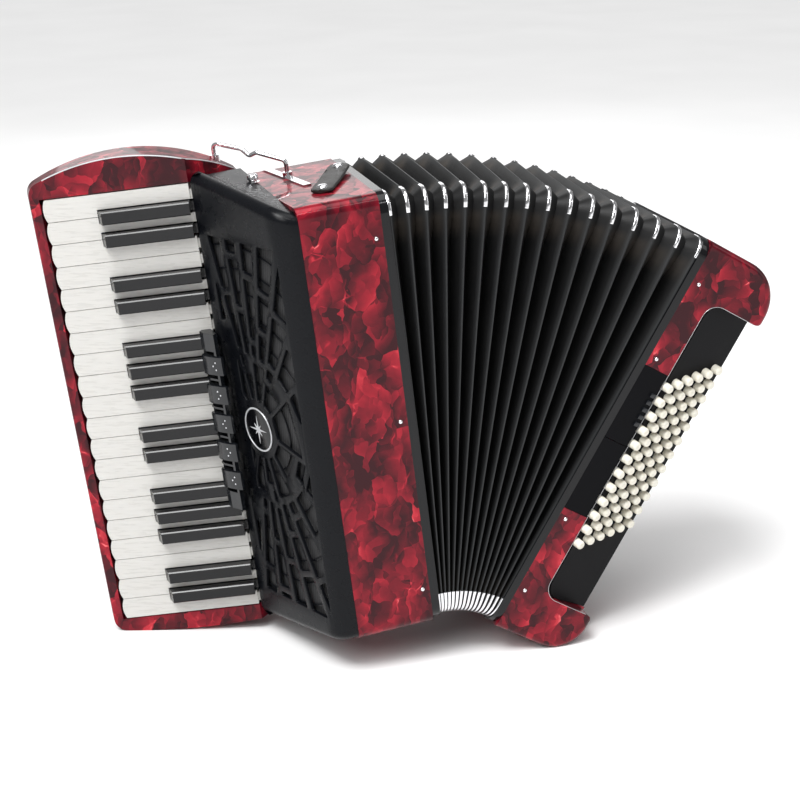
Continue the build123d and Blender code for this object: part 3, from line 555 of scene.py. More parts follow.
def bellows_body():
    """The folds as one sheet, each point carrying its share of the fan."""
    bm = bmesh.new()
    edge_layer = bm.verts.layers.float.new("fold_edge_highlight")
    gusset_layer = bm.verts.layers.float.new("gusset")
    weight_layer = bm.verts.layers.float.new("share")
    rings = []

    def add_ring(index, side, depth_share, edge_value):
        """One loop at a fold's edge, or part of the way to the valley beyond it."""
        ring = []
        for point, inward, closeness in OUTLINE:
            valley = VALLEY_DEPTH + (CORNER_DEPTH - VALLEY_DEPTH) * min(1.0, closeness * 1.25)
            place = point + inward * valley * depth_share
            here = fold_angle(index, point.x)
            other = index + side
            if 0 <= other <= FOLDS - 1:
                gap = abs(fold_angle(other, point.x) - here)
            else:
                gap = 0.0
            angle = here + side * gap * 0.5 * depth_share
            spacing = math.radians(2.2) * place.y
            ridge = min(0.55, 0.2 * spacing) * (1.0 - depth_share)
            vert = bm.verts.new(fan_place(angle, place.x, place.y, side * ridge))
            # This mask marks the fold ridges, which the cloth paints grey as a highlight.
            vert[edge_layer] = edge_value
            fades = max(0.0, 1.0 - abs(closeness - 0.55) / 0.30) if closeness < 1.0 else 0.0
            vert[gusset_layer] = fades * min(1.0, depth_share * 1.6) * (1.0 if inward.x else 0.4)
            vert[weight_layer] = min(1.0, max(0.0, angle / FAN_ANGLE))
            ring.append(vert)
        rings.append(ring)

    for index in range(FOLDS):
        if index:
            for depth_share in (0.86, 0.55, 0.28, 0.07):
                add_ring(index, -1, depth_share, 0.0 if depth_share > 0.1 else 0.6)
        add_ring(index, -1, 0.0, 1.0)
        add_ring(index, 1, 0.0, 1.0)
        if index < FOLDS - 1:
            for depth_share in (0.07, 0.28, 0.55, 0.86, 1.0):
                add_ring(index, 1, depth_share, 0.0 if depth_share > 0.1 else 0.6)
    join_rings(bm, rings)
    bm.verts.ensure_lookup_table()
    obj = finish_mesh("bellows_folds", bm, UP, CLOTH, None, smooth=28.0)
    blend_exactly(obj)
    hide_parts("bellows_pleats")


def bellows_corner_strips():
    """Bright metal strips over the corners of every fold, ribbed at their ends."""
    bm = bmesh.new()
    weight_layer = bm.verts.layers.float.new("share")
    half_depth = (PLEAT_BACK - PLEAT_FRONT) / 2
    middle = (PLEAT_BACK + PLEAT_FRONT) / 2
    for index in range(FOLDS):
        for side in (-1, 1):
            for end in (-1, 1):
                centre_y = middle + side * (half_depth - PLEAT_CORNER)
                edge_r = PLEAT_TOP if end > 0 else PLEAT_BOTTOM
                centre_r = edge_r - end * PLEAT_CORNER
                stations = []
                for step in range(5):
                    stations.append((centre_y - side * (5 - step), edge_r, 0, end))
                for step in range(13):
                    angle = math.radians(90 * step / 12)
                    out_y, out_r = side * math.sin(angle), end * math.cos(angle)
                    y, r = centre_y + out_y * PLEAT_CORNER, centre_r + out_r * PLEAT_CORNER
                    stations.append((y, r, out_y, out_r))
                tail = 4 if end > 0 else 10
                for step in range(1, tail):
                    stations.append((centre_y + side * PLEAT_CORNER, centre_r - end * step, side, 0))
                rings = []
                for number, (y, r, out_y, out_r) in enumerate(stations):
                    angle = fold_angle(index, y)
                    ribbed = len(stations) - number < 10 and number % 2
                    half = min(1.75, 0.38 * math.radians(2.2) * r)
                    ring = []
                    for step in range(7):
                        round_angle = math.pi * step / 6
                        aside = -half * math.cos(round_angle)
                        lift = (0.75 + (0.3 if ribbed else 0.0)) * math.sin(round_angle) - 0.15
                        vert = bm.verts.new(fan_place(angle, y + out_y * lift, r + out_r * lift, aside))
                        vert[weight_layer] = angle / FAN_ANGLE
                        ring.append(vert)
                    rings.append(ring)
                join_rings(bm, rings, capped=True)
    bm.verts.ensure_lookup_table()
    obj = finish_mesh("bellows_corner_strips", bm, UP, CHROME, None, smooth=50.0)
    blend_exactly(obj)


# ---------------------------------------------------------------- grille
GRILLE_CORNER = Vector((-84.0, 0.0))
GRILLE_END = Vector((-130.4, 111.8))
GRILLE_LENGTH = (GRILLE_END - GRILLE_CORNER).length
GRILLE_ALONG = (GRILLE_END - GRILLE_CORNER).normalized()
GRILLE_OUT = Vector((-GRILLE_ALONG.y, GRILLE_ALONG.x))
GRILLE_BEND = 24.0
GRILLE_SKIN = 2.6
BADGE_PLACE = Vector((0.61 * GRILLE_LENGTH, 182.0))
BADGE_RADIUS = 20.5
PLATE_LOW = Vector((4.0, 14.0))
PLATE_HIGH = Vector((117.5, 356.0))
END_ROUND = 9.0


def grille_top(x, y):
    """Height of the cover's upper end."""
    return 377.0 - 0.2623 * (x + 75.0) + 0.0641 * y


def grille_bottom(x, y):
    """Height of the cover's lower end."""
    return 1.0 + 0.0437 * (x + 75.0) - 0.0662 * y


BEND_TURN = math.acos(-GRILLE_ALONG.x)
BEND_SETBACK = GRILLE_BEND * math.tan(BEND_TURN / 2)
BEND_CENTRE = Vector((GRILLE_CORNER.x + BEND_SETBACK, GRILLE_BEND))


def slope_place(along, height, lift=0.0):
    """Upright-frame point on the grille's face; short of the bend's end it follows the bend."""
    if along < BEND_SETBACK:
        angle = math.atan2(GRILLE_OUT.y, GRILLE_OUT.x) + (BEND_SETBACK - along) / GRILLE_BEND
        flat = BEND_CENTRE + Vector((math.cos(angle), math.sin(angle))) * (GRILLE_BEND + lift)
    else:
        flat = GRILLE_CORNER + GRILLE_ALONG * along + GRILLE_OUT * lift
    return Vector((flat.x, flat.y, height))


def bend_stations():
    """Distances along the face at which the bend is drawn, from the slotted part's edge."""
    return [PLATE_LOW.x + (BEND_SETBACK - PLATE_LOW.x) * step / 4 for step in range(5)]


def grille_section():
    """Outline of the cover seen from above, with its outward direction, from casing to keys."""
    points = [(Vector((-66.2, 0.0)), Vector((0, -1)))]
    arc_start = BEND_SETBACK - BEND_TURN * GRILLE_BEND
    before_plate = [arc_start + (PLATE_LOW.x - arc_start) * step / 6 for step in range(6)]
    for along in before_plate + bend_stations():
        place = slope_place(along, 0.0)
        flat = Vector((place.x, place.y))
        points.append((flat, (flat - BEND_CENTRE).normalized()))
    for along in (PLATE_HIGH.x, GRILLE_LENGTH - 2.0):
        points.append((GRILLE_CORNER + GRILLE_ALONG * along, GRILLE_OUT))
    # rounded lip down towards the keys
    lip = GRILLE_CORNER + GRILLE_ALONG * (GRILLE_LENGTH - 2.0) - GRILLE_OUT * 2.0
    for step in range(1, 5):
        angle = math.radians(90 * step / 4)
        out = GRILLE_OUT * math.cos(angle) + GRILLE_ALONG * math.sin(angle)
        points.append((lip + out * 2.0, out))
    points.append((lip + GRILLE_ALONG * 2.0 - GRILLE_OUT * 3.0, GRILLE_ALONG))
    return points


def round_corners(points, radius, steps=3):
    """Outline with each corner replaced by a short arc-like run."""
    rounded = []
    count = len(points)
    for index in range(count):
        here = points[index]
        before = points[index - 1] - here
        after = points[(index + 1) % count] - here
        reach = min(radius, 0.45 * before.length, 0.45 * after.length)
        start = here + before.normalized() * reach
        finish = here + after.normalized() * reach
        for step in range(steps + 1):
            t = step / steps
            rounded.append(start * (1 - t) ** 2 + here * 2 * t * (1 - t) + finish * t * t)
    return rounded


def clip(points, axis, limit, keep_below):
    """Cut a convex outline at one limit along one axis."""
    result = []
    for index, here in enumerate(points):
        before = points[index - 1]
        inside = (here[axis] <= limit) == keep_below
        was_inside = (before[axis] <= limit) == keep_below
        if inside != was_inside:
            t = (limit - before[axis]) / (here[axis] - before[axis])
            result.append(before + (here - before) * t)
        if inside:
            result.append(here)
    return result


def outline_area(points):
    """Area of an anticlockwise outline."""
    return 0.5 * sum(a.cross(b) for a, b in zip(points[-1:] + points[:-1], points))


def slot_outline(low_angle, high_angle, near, far):
    """One slot between two bars that fan out from the badge, clipped to the slotted part."""
    low_way = Vector((math.cos(low_angle), math.sin(low_angle)))
    high_way = Vector((math.cos(high_angle), math.sin(high_angle)))
    half_bar = HALF_BAR + BAR_GROWTH * near
    low_side = Vector((-low_way.y, low_way.x)) * half_bar
    high_side = Vector((high_way.y, -high_way.x)) * half_bar
    points = [
        low_way * near + low_side,
        low_way * far + low_side,
        high_way * far + high_side,
        high_way * near + high_side,
    ]
    points = [BADGE_PLACE + p for p in points]
    middle = sum(points, Vector((0, 0))) / 4
    key_side = 92.0 if 100 < middle.y < 268 else 107.0
    for axis, limit, keep_below in ((0, key_side, True), (0, 8.0, False), (1, 348.0, True), (1, 22.0, False)):
        if points:
            points = clip(points, axis, limit, keep_below)
    return points


HALF_BAR = 1.4
BAR_GROWTH = 0.012
SPOKES = 24
SPOKE_CROWDING = 0.53
INNER_SLOTS = ((26.0, 50.0), (26.0, 62.0))
OUTER_SLOTS = (
    ((55.0, 66.0), (71.0, 118.0), (123.0, 182.0)),
    ((67.0, 104.0), (109.0, 150.0), (155.0, 190.0)),
    ((67.0, 78.0), (83.0, 136.0), (141.0, 190.0)),
    ((55.0, 92.0), (97.0, 128.0), (133.0, 190.0)),
)


def spoke_angle(number):
    """Direction of one bar; the bars crowd together up and down the instrument."""
    turns, step = divmod(number, SPOKES)
    phase = 2 * math.pi * (step + 0.5) / SPOKES
    angle = math.atan2(math.sin(phase), SPOKE_CROWDING * math.cos(phase))
    if angle < 0:
        angle += 2 * math.pi
    return angle + 2 * math.pi * turns


def grille_slots():
    """Broken slots that fan out from the badge, wide ones close to it and narrow ones beyond."""
    slots = []
    for number in range(SPOKES // 2):
        near, far = INNER_SLOTS[number % 2]
        slots.append(slot_outline(spoke_angle(2 * number), spoke_angle(2 * number + 2), near, far))
    for number in range(SPOKES):
        inner_end = INNER_SLOTS[(number // 2) % 2][1]
        for near, far in OUTER_SLOTS[number % 4]:
            if far > inner_end + 9:
                near = max(near, inner_end + 5)
                slots.append(slot_outline(spoke_angle(number), spoke_angle(number + 1), near, far))
    return [points for points in slots if len(points) >= 3 and outline_area(points) > 22.0]


def finer(points, longest=4.0):
    """Outline with its long sides cut into shorter ones, so that it can follow the bend."""
    result = []
    for here, after in zip(points, points[1:] + points[:1]):
        pieces = max(1, math.ceil((after - here).length / longest))
        result.extend(here + (after - here) * step / pieces for step in range(pieces))
    return result


def shrink(points, amount):
    """Move an anticlockwise outline inwards."""
    result = []
    count = len(points)
    for index in range(count):
        before = (points[index] - points[index - 1])
        after = (points[(index + 1) % count] - points[index])
        if before.length < 1e-6 or after.length < 1e-6:
            result.append(points[index].copy())
            continue
        way = (before.normalized() + after.normalized())
        if way.length < 1e-6:
            result.append(points[index].copy())
            continue
        way.normalize()
        result.append(points[index] + Vector((-way.y, way.x)) * amount)
    return result


def inside_outline(point, outline):
    """Whether a point lies within an outline."""
    inside = False
    for a, b in zip(outline, outline[1:] + outline[:1]):
        if (a.y > point.y) != (b.y > point.y):
            if point.x < a.x + (b.x - a.x) * (point.y - a.y) / (b.y - a.y):
                inside = not inside
    return inside


def grille_cover():
    """Cover shell: rounded ends and walls, and the slotted face with its slots cut through."""
    bm = bmesh.new()
    section = grille_section()
    plate_columns = range(7, 7 + len(bend_stations()))
    wall_back = Vector((-81.5, 144.0))
    wall_front = Vector((-66.2, 4.0))
    columns = []
    for number, (point, out) in enumerate(section):
        top = grille_top(point.x, point.y)
        bottom = grille_bottom(point.x, point.y)
        share = number / (len(section) - 1)
        wall = wall_front + (wall_back - wall_front) * share ** 1.3
        column = []
        for end, edge in ((-1, bottom), (1, top)):
            rows = []
            for step in range(7):
                angle = math.radians(90 * step / 6)
                inset = END_ROUND * (1 - math.cos(angle))
                height = edge - end * END_ROUND * (1 - math.sin(angle))
                flat = point - out * inset
                rows.append(Vector((flat.x, flat.y, height)))
            base = point - out * END_ROUND
            for step in range(1, 7):
                flat = base + (wall - base) * step / 6
                slope = grille_top(flat.x, flat.y) if end > 0 else grille_bottom(flat.x, flat.y)
                rows.append(Vector((flat.x, flat.y, slope)))
            column.append(rows)
        low = column[0][::-1]
        plate = [Vector((point.x, point.y, PLATE_LOW.y)), Vector((point.x, point.y, PLATE_HIGH.y))]
        columns.append([bm.verts.new(p) for p in low + plate + column[1]])
    hole_row = 12 + 1
    for number, (left, right) in enumerate(zip(columns, columns[1:])):
        for row in range(len(left) - 1):
            if number in plate_columns and row == hole_row:
                continue
            bm.faces.new((left[row], right[row], right[row + 1], left[row + 1]))
    # the slotted part of the slope
    slots = [finer(round_corners(points, 2.2)) for points in grille_slots()]
    stations = bend_stations()
    coords = [Vector((along, PLATE_LOW.y)) for along in stations + [PLATE_HIGH.x]]
    coords += [Vector((along, PLATE_HIGH.y)) for along in [PLATE_HIGH.x] + stations[::-1]]
    border = len(coords)
    edges = [(index, (index + 1) % border) for index in range(border)]
    # the bend's stations are drawn up the whole face as well
    edges += [(index, border - 1 - index) for index in range(1, len(stations))]
    for outline in slots:
        first = len(coords)
        coords.extend(outline)
        edges.extend((first + i, first + (i + 1) % len(outline)) for i in range(len(outline)))
    verts2d, _, faces2d, _, _, _ = delaunay_2d_cdt(coords, edges, [], 1, 1e-4)
    flat_verts = [bm.verts.new(slope_place(v.x, v.y)) for v in verts2d]
    for face in faces2d:
        middle = sum((verts2d[i] for i in face), Vector((0, 0))) / len(face)
        if any(inside_outline(middle, outline) for outline in slots):
            continue
        bm.faces.new([flat_verts[i] for i in face])
    for outline in slots:
        levels = [(0.0, 0.0), (0.25, 0.12), (0.45, 0.45), (0.6, GRILLE_SKIN)]
        rings = []
        for inward, deep in levels:
            rings.append([bm.verts.new(slope_place(p.x, p.y, -deep)) for p in shrink(outline, inward)])
        join_rings(bm, rings)
    bmesh.ops.remove_doubles(bm, verts=bm.verts[:], dist=0.01)
    obj = finish_mesh("grille_shell", bm, UP, SATIN_BLACK, "treble_side", smooth=40.0)
    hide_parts("grille_cover")


def grille_backing():
    """Cloth behind the slots, with thin curved ribs in front of it."""
    bm = bmesh.new()
    columns, rows = 14, 24
    grid = []
    for column in range(columns + 1):
        along = 6 + (110 - 6) * column / columns
        line = []
        for row in range(rows + 1):
            height = 17 + (353 - 17) * row / rows
            line.append(bm.verts.new(slope_place(along, height, -5.5)))
        grid.append(line)
    for column in range(columns):
        for row in range(rows):
            near, far = grid[column], grid[column + 1]
            bm.faces.new((near[row], far[row], far[row + 1], near[row + 1]))
    cloth = finish_mesh("grille_cloth_sheet", bm, UP, MESH_CLOTH, "treble_side")
    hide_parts("grille_cloth")
    bm = bmesh.new()
    for ring in range(7):
        radius = 40.0 + 20.0 * ring
        run = []
        for step in range(97):
            angle = 2 * math.pi * step / 96
            p = BADGE_PLACE + Vector((math.cos(angle), math.sin(angle))) * radius
            inside = 7 < p.x < 109 and 20 < p.y < 350
            if inside:
                run.append(slope_place(p.x, p.y, -4.0))
            if (not inside or step == 96) and len(run) > 2:
                tube(bm, run, 0.9, sides=6)
                run = []
            elif not inside:
                run = []
    ribs = finish_mesh("grille_ribs", bm, UP, SATIN_BLACK, "treble_side")


def grille_badge():
    """Plain round badge with a light ring and a small star."""
    flat = GRILLE_OUT
    along = GRILLE_ALONG
    out = Vector((flat.x, flat.y, 0))
    across = Vector((along.x, along.y, 0))
    up = Vector((0, 0, 1))
    base = slope_place(BADGE_PLACE.x, BADGE_PLACE.y)
    turn = Matrix((
        (across.x, up.x, out.x, base.x),
        (across.y, up.y, out.y, base.y),
        (across.z, up.z, out.z, base.z),
        (0, 0, 0, 1),
    ))
    bm = bmesh.new()
    rim = BADGE_RADIUS
    lathe(bm, [(0, 0.9), (rim - 1.0, 0.9), (rim - 0.2, 0.6), (rim, 0.0)], turn, 72)
    disc = finish_mesh("badge_disc", bm, UP, GLOSS_BLACK, "treble_side")
    bm = bmesh.new()
    lathe(bm, [(18.2, 0.8), (18.4, 1.15), (19.6, 1.15), (19.8, 0.8)], turn, 72)
    star = []
    for step in range(16):
        angle = math.pi * step / 8
        radius = (13.0 if step % 4 == 0 else 7.0) if step % 2 == 0 else 2.6
        star.append(Vector((radius * math.cos(angle), radius * math.sin(angle))))
    low = [bm.verts.new(turn @ Vector((p.x, p.y, 0.85))) for p in star]
    high = [bm.verts.new(turn @ Vector((p.x * 0.94, p.y * 0.94, 1.15))) for p in star]
    join_rings(bm, [low, high])
    bm.faces.new(high)
    mark = finish_mesh("badge_ring", bm, UP, SILVER_PRINT, "treble_side")


def thumb_screws():
    """Screws that hold the grille, one at each end."""
    bm = bmesh.new()
    x, y = -80.0, 98.0
    profile = [(0, 7.0), (3.6, 6.6), (4.6, 5.6), (4.6, 2.6), (3.2, 1.8), (3.2, 0.4), (5.6, 0.3), (5.6, 0.0)]
    for height, turn in ((grille_top(x, y), 0.0), (grille_bottom(x, y), math.pi)):
        lathe(bm, profile, Matrix.Translation((x, y, height)) @ Matrix.Rotation(turn, 4, "X"), 24)
    screws = finish_mesh("grille_screws", bm, UP, CHROME, "treble_side", smooth=50)


bellows_body()
bellows_corner_strips()
grille_cover()
grille_backing()
grille_badge()
thumb_screws()


# ---------------------------------------------------------------- small fittings
def nail_heads():
    """Nails along the edges next to the bellows, front and back."""
    for name, matrix, places, body in (
        ("treble_nails", UP, [(-6, z) for z in (344, 188, 34)], "treble_side"),
        ("bass_nails", BASS, [(7, z) for z in (342, 270, 112, 40)], "bass_side"),
    ):
        bm = bmesh.new()
        for x, z in places:
            for depth, way in ((0.0, 1), (BODY_DEPTH, -1)):
                place = Matrix.Translation((x, depth, z)) @ Matrix.Rotation(way * math.pi / 2, 4, "X")
                lathe(bm, [(0, 1.0), (1.0, 0.85), (1.6, 0.45), (1.8, -0.1)], place, 16)
        nails = finish_mesh(name, bm, matrix, CHROME, body, smooth=60)


def stitches(bm, path, up, length=2.6, gap=1.6, radius=0.28):
    """A row of short raised stitches along a path."""
    travelled = 0.0
    for a, b in zip(path, path[1:]):
        segment = (b - a).length
        position = 0.0
        while position < segment:
            phase = (travelled + position) % (length + gap)
            if phase < 0.3 and position + length < segment + 0.01:
                p = a + (b - a) * (position / segment)
                q = a + (b - a) * ((position + length) / segment)
                lift = up * radius * 0.6
                tube(bm, [p, p + (q - p) * 0.25 + lift, p + (q - p) * 0.75 + lift, q], radius, sides=5)
                position += length + gap
            else:
                position += 0.25
        travelled += segment


def leather_strip(bm, path, sides, half_width, thickness, end_round):
    """Strap along a path with crowned section and rounded ends; sides gives its width direction."""
    total = sum((b - a).length for a, b in zip(path, path[1:]))
    travelled = 0.0
    sections = []
    for index, point in enumerate(path):
        before = path[max(index - 1, 0)]
        after = path[min(index + 1, len(path) - 1)]
        tangent = (after - before).normalized()
        if index:
            travelled += (point - path[index - 1]).length
        near_end = min(travelled, total - travelled)
        if near_end < end_round:
            squeeze = math.sqrt(max(0.0, 1 - (1 - near_end / end_round) ** 2))
        else:
            squeeze = 1.0
        half = max(0.6, half_width * (1 - end_round / half_width * (1 - squeeze)))
        up = sides.cross(tangent).normalized()
        section = []
        for share, height in ((-1, 0.25), (-0.97, 0.75), (-0.85, 1.0), (-0.4, 1.12), (0, 1.15), (0.4, 1.12),
                              (0.85, 1.0), (0.97, 0.75), (1, 0.25), (0.9, 0.0), (0, 0.0), (-0.9, 0.0)):
            section.append(point + sides * half * share + up * thickness * height)
        sections.append(section)
    cross_sections(bm, sections)


def bellows_strap():
    """Leather strap on the casing's top, with a snap at each end and stitched edges."""
    near = Vector((-38.0, 36.0, BODY_HEIGHT + 0.6))
    middle = Vector((-22.0, 68.0, BODY_HEIGHT + 1.6))
    far = Vector((-3.0, 108.0, BODY_HEIGHT + 3.6))
    path = smooth_path([near, near + (middle - near) * 0.5 + Vector((0, 0, 0.2)), middle, far], 10)
    way = (far - near).normalized()
    sides = Vector((way.y, -way.x, 0)).normalized()
    bm = bmesh.new()
    leather_strip(bm, path, sides, 9.5, 2.6, 8.0)
    strap = finish_mesh("bellows_strap_leather", bm, UP, LEATHER, "treble_side", smooth=50)
    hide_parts("bellows_strap")
    bm = bmesh.new()
    for place in (near + way * 9, far - way * 10):
        lift = Matrix.Translation(place + Vector((0, 0, 2.8)))
        lathe(bm, [(0, 2.4), (2.6, 2.2), (4.0, 1.4), (4.6, 0.4), (4.8, 0.0)], lift, 24)
    caps = finish_mesh("bellows_strap_snaps", bm, UP, CHROME, "treble_side", smooth=60)
    bm = bmesh.new()
    for side in (-1, 1):
        line = [p + sides * side * 7.6 + Vector((0, 0, 2.75)) for p in path[4:-4]]
        stitches(bm, line, Vector((0, 0, 1)))
    seam = finish_mesh("bellows_strap_stitches", bm, UP, THREAD, "treble_side")


def hand_strap():
    """Leather strap on the bass side's outer face, with stitched edges and a plate at each end."""
    face_x = BASS_THICKNESS
    middle_y = 112.0
    path = []
    radius = 374.0
    for step in range(41):
        z = 44 + (336 - 44) * step / 40
        rise = 27.0 - (radius - math.sqrt(radius * radius - (z - 190) ** 2))
        path.append(Vector((face_x + max(0.8, rise + 1.2), middle_y, z)))
    bm = bmesh.new()
    leather_strip(bm, path, Vector((0, 1, 0)), 31.5, 3.0, 12.0)
    strap = finish_mesh("hand_strap_leather", bm, BASS, LEATHER, "bass_side", smooth=50)
    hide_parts("hand_strap")
    bm = bmesh.new()
    for side in (-1, 1):
        line = [p + Vector((2.95, side * 27.5, 0)) for p in path[3:-3]]
        stitches(bm, line, Vector((1, 0, 0)), 3.4, 1.8, 0.32)
    seam = finish_mesh("hand_strap_stitches", bm, BASS, THREAD, "bass_side")
    bm = bmesh.new()
    for z in (41.0, 339.0):
        rounded_block(bm, (face_x, middle_y - 28, z - 6), (face_x + 3.4, middle_y + 28, z + 6), 1.2)
        for side in (-1, 1):
            place = Matrix.Translation((face_x + 3.4, middle_y + side * 20, z))
            place = place @ Matrix.Rotation(math.pi / 2, 4, "Y")
            lathe(bm, [(0, 1.1), (1.8, 1.0), (2.6, 0.4), (2.7, -0.3)], place, 18)
    plates = finish_mesh("hand_strap_plates", bm, BASS, CHROME, "bass_side", smooth=45)


def recess_edge_line():
    """Thin grey edging along the front of the bass casing's recess."""
    corner = 14.0
    low_z, high_z, front_x, tip_x = 42.0, 334.0, 25.0, BASS_THICKNESS - 9.0
    path = [Vector((tip_x, 0.1, high_z))]
    for first_angle, centre_z in ((90, high_z - corner), (180, low_z + corner)):
        for step in range(9):
            angle = math.radians(first_angle + 90 * step / 8)
            x = front_x + corner + corner * math.cos(angle)
            path.append(Vector((x, 0.1, centre_z + corner * math.sin(angle))))
    path.append(Vector((tip_x, 0.1, low_z)))
    bm = bmesh.new()
    tube(bm, path, 0.28, sides=8)
    line = finish_mesh("recess_edge_line", bm, BASS, STEEL, "bass_side", smooth=60)


def edge_trims():
    """Thin bright line along the front of the bed's arch."""
    ends = ((-258.97, 401.0), (-84.3, 387.0))
    crown = (-160.0, 417.0)
    centre, radius = circle_through((ends[0], crown, ends[1]))
    path = []
    for step in range(41):
        x = ends[0][0] + 13 + (ends[1][0] - 1 - ends[0][0] - 13) * step / 40
        z = centre[1] + math.sqrt(radius * radius - (x - centre[0]) ** 2)
        path.append(Vector((x, rim_depth(x) + 0.3, z - 0.2)))
    bm = bmesh.new()
    tube(bm, path, 0.55, sides=8)
    trim = finish_mesh("bed_edge_line", bm, UP, SILVER_PRINT, "treble_side")


def circle_through(points):
    """Centre and radius of the circle through three points."""
    (x1, z1), (x2, z2), (x3, z3) = points
    base = 2 * (x1 * (z2 - z3) + x2 * (z3 - z1) + x3 * (z1 - z2))
    s1, s2, s3 = x1 * x1 + z1 * z1, x2 * x2 + z2 * z2, x3 * x3 + z3 * z3
    centre_x = (s1 * (z2 - z3) + s2 * (z3 - z1) + s3 * (z1 - z2)) / base
    centre_z = (s1 * (x3 - x2) + s2 * (x1 - x3) + s3 * (x2 - x1)) / base
    return (centre_x, centre_z), math.hypot(x1 - centre_x, z1 - centre_z)


def rim_depth(x):
    """Depth of the bed's front face, which follows the keys' slant and then the casing."""
    if x < KEY_LINE[0]:
        return KEY_LINE[1] + (KEY_LINE[0] - x) * math.tan(math.radians(KEY_TILT))
    return KEY_LINE[1] + (x - KEY_LINE[0]) * (147.0 - KEY_LINE[1]) / (-82.8 - KEY_LINE[0])


def bass_details():
    """Small register tabs on the upper front panel and rubber feet on the outer face."""
    bm = bmesh.new()
    for index in range(5):
        z = 213.0 + index * 7.0
        rounded_block(bm, (18.6, -1.4, z - 2.2), (23.8, 0.8, z + 2.2), 0.7, 2)
    tabs = finish_mesh("bass_register_tabs", bm, BASS, REGISTER_BLACK, "bass_side")
    bm = bmesh.new()
    for y in (56.0, 148.0):
        for z in (50.0, 334.0 if y > 60 else 340.0):
            place = Matrix.Translation((BASS_THICKNESS, y, z)) @ Matrix.Rotation(math.pi / 2, 4, "Y")
            lathe(bm, [(0, 3.6), (4.0, 3.4), (5.6, 2.4), (6.2, 0.6), (6.4, -0.3)], place, 24)
    feet = finish_mesh("bass_feet", bm, BASS, RUBBER, "bass_side", smooth=50)


def register_tabs():
    """Chunky rocker tabs with generic dots, in place of the plain register switches."""
    section = [(10.4, 13.6), (10.8, 17.4), (8.6, 21.4), (2.6, 26.2), (-3.4, 30.6),
               (-7.6, 32.6), (-9.4, 31.0), (-6.4, 26.6), (-1.0, 20.0), (6.0, 14.0)]
    middle = Vector((2.0, 22.0))
    for index in range(5):
        z = REGISTER_MIDDLE + REGISTER_PITCH * (2 - index)
        switch = "register_switch_%d" % (index + 1)
        bm = bmesh.new()
        outlines = []
        for share in range(13):
            across = -1.0 + share / 6
            rim = 1.0 - 0.13 * max(0.0, (abs(across) - 0.72) / 0.28) ** 2
            waist = 1.0 - 0.05 * (1 - across * across)
            outline = []
            for u, v in section:
                flat = middle + (Vector((u, v)) - middle) * (rim * waist)
                outline.append(Vector((flat.x, flat.y, z + 8.3 * math.sin(across * math.pi / 2))))
            outlines.append(outline)
        cross_sections(bm, outlines)
        tab = finish_mesh("register_tab_%d" % (index + 1), bm, KEYS, REGISTER_BLACK, switch, smooth=32)
        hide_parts(switch)
        bm = bmesh.new()
        tilt = Matrix.Rotation(math.radians(-36.3), 4, "Z") @ Matrix.Rotation(-math.pi / 2, 4, "X")
        for row in range(3):
            for column in range(2):
                if (row + column + index) % 2:
                    place = (0.95 - 2.3 * column, 27.2 + 1.66 * column, z + (row - 1) * 3.2)
                    lathe(bm, [(0, 0.3), (0.6, 0.25), (0.75, 0.0)], Matrix.Translation(place) @ tilt, 12)
        dots = finish_mesh("register_dots_%d" % (index + 1), bm, KEYS, SILVER_PRINT, switch)


nail_heads()
bellows_strap()
hand_strap()
edge_trims()
recess_edge_line()
bass_details()
register_tabs()


# ---------------------------------------------------------------- floor, lights, camera
def stage():
    """Plain pale floor."""
    data = bpy.data.meshes.new("floor")
    reach = 8.0
    data.from_pydata([(-reach, -reach, 0), (reach, -reach, 0), (reach, reach, 0), (-reach, reach, 0)], [],
                     [(0, 1, 2, 3)])
    floor = bpy.data.objects.new("floor", data)
    bpy.context.scene.collection.objects.link(floor)
    material, tree, shader = new_material("pale_floor")
    drift = noise(tree, coordinates(tree), 3.0, 2.0).outputs["Fac"]
    shades = [(0.3, (0.84, 0.84, 0.84)), (0.7, (0.87, 0.87, 0.87))]
    tree.links.new(ramp(tree, drift, shades), shader.inputs["Base Color"])
    shader.inputs["Roughness"].default_value = 0.9
    data.materials.append(material)


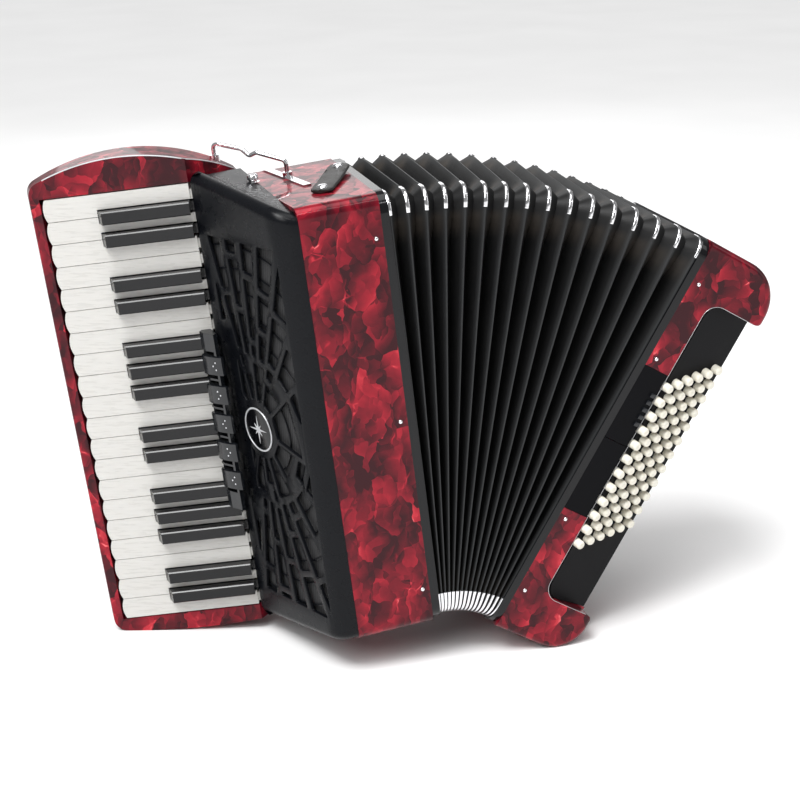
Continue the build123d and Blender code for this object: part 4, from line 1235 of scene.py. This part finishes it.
def area_light(name, place, target, size, power):
    """Rectangular light aimed at a point."""
    data = bpy.data.lights.new(name, "AREA")
    data.shape = "RECTANGLE"
    data.size, data.size_y = size
    data.energy = power
    light = bpy.data.objects.new(name, data)
    bpy.context.scene.collection.objects.link(light)
    light.location = place
    light.rotation_euler = (Vector(target) - Vector(place)).to_track_quat("-Z", "Y").to_euler()


def lights():
    """White surroundings, one wide overhead light and five soft boxes."""
    world = bpy.data.worlds.new("studio")
    bpy.context.scene.world = world
    world.use_nodes = True
    background = world.node_tree.nodes["Background"]
    background.inputs[0].default_value = (1.0, 1.0, 1.0, 1.0)
    background.inputs[1].default_value = 0.30
    bpy.context.scene.view_settings.view_transform = "Standard"
    data = bpy.data.lights.new("overhead", "SUN")
    data.energy = 2.3
    data.angle = math.radians(24)
    overhead = bpy.data.objects.new("overhead", data)
    bpy.context.scene.collection.objects.link(overhead)
    overhead.rotation_euler = Vector((0.45, 0.35, -1.0)).to_track_quat("-Z", "Y").to_euler()
    target = (0.0, 0.0, 0.2)
    area_light("key", (-1.4, -1.7, 1.9), target, (1.2, 1.2), 26)
    area_light("top", (0.2, -0.3, 2.4), target, (2.0, 1.2), 22)
    area_light("right", (2.2, -1.0, 1.2), target, (0.8, 1.8), 8)
    area_light("strip", (-0.5, -1.3, 2.2), target, (2.2, 0.12), 12)
    area_light("back", (0.2, 2.2, 1.5), target, (2.0, 1.4), 12)


def camera():
    """Camera in front of the keyboard end, a little above the instrument."""
    data = bpy.data.cameras.new("camera")
    data.sensor_width = 36.0
    data.lens = 77.33
    data.clip_start = 0.05
    view = bpy.data.objects.new("camera", data)
    bpy.context.scene.collection.objects.link(view)
    right = Vector((0.962372, -0.271426, -0.012961))
    upward = Vector((0.099031, 0.305910, 0.946896))
    backward = Vector((-0.253048, -0.912550, 0.321279))
    turn = Matrix((right, upward, backward)).transposed().to_4x4()
    view.matrix_world = Matrix.Translation((-0.383375, -1.362585, 0.696559)) @ turn
    bpy.context.scene.camera = view


stage()
lights()
camera()
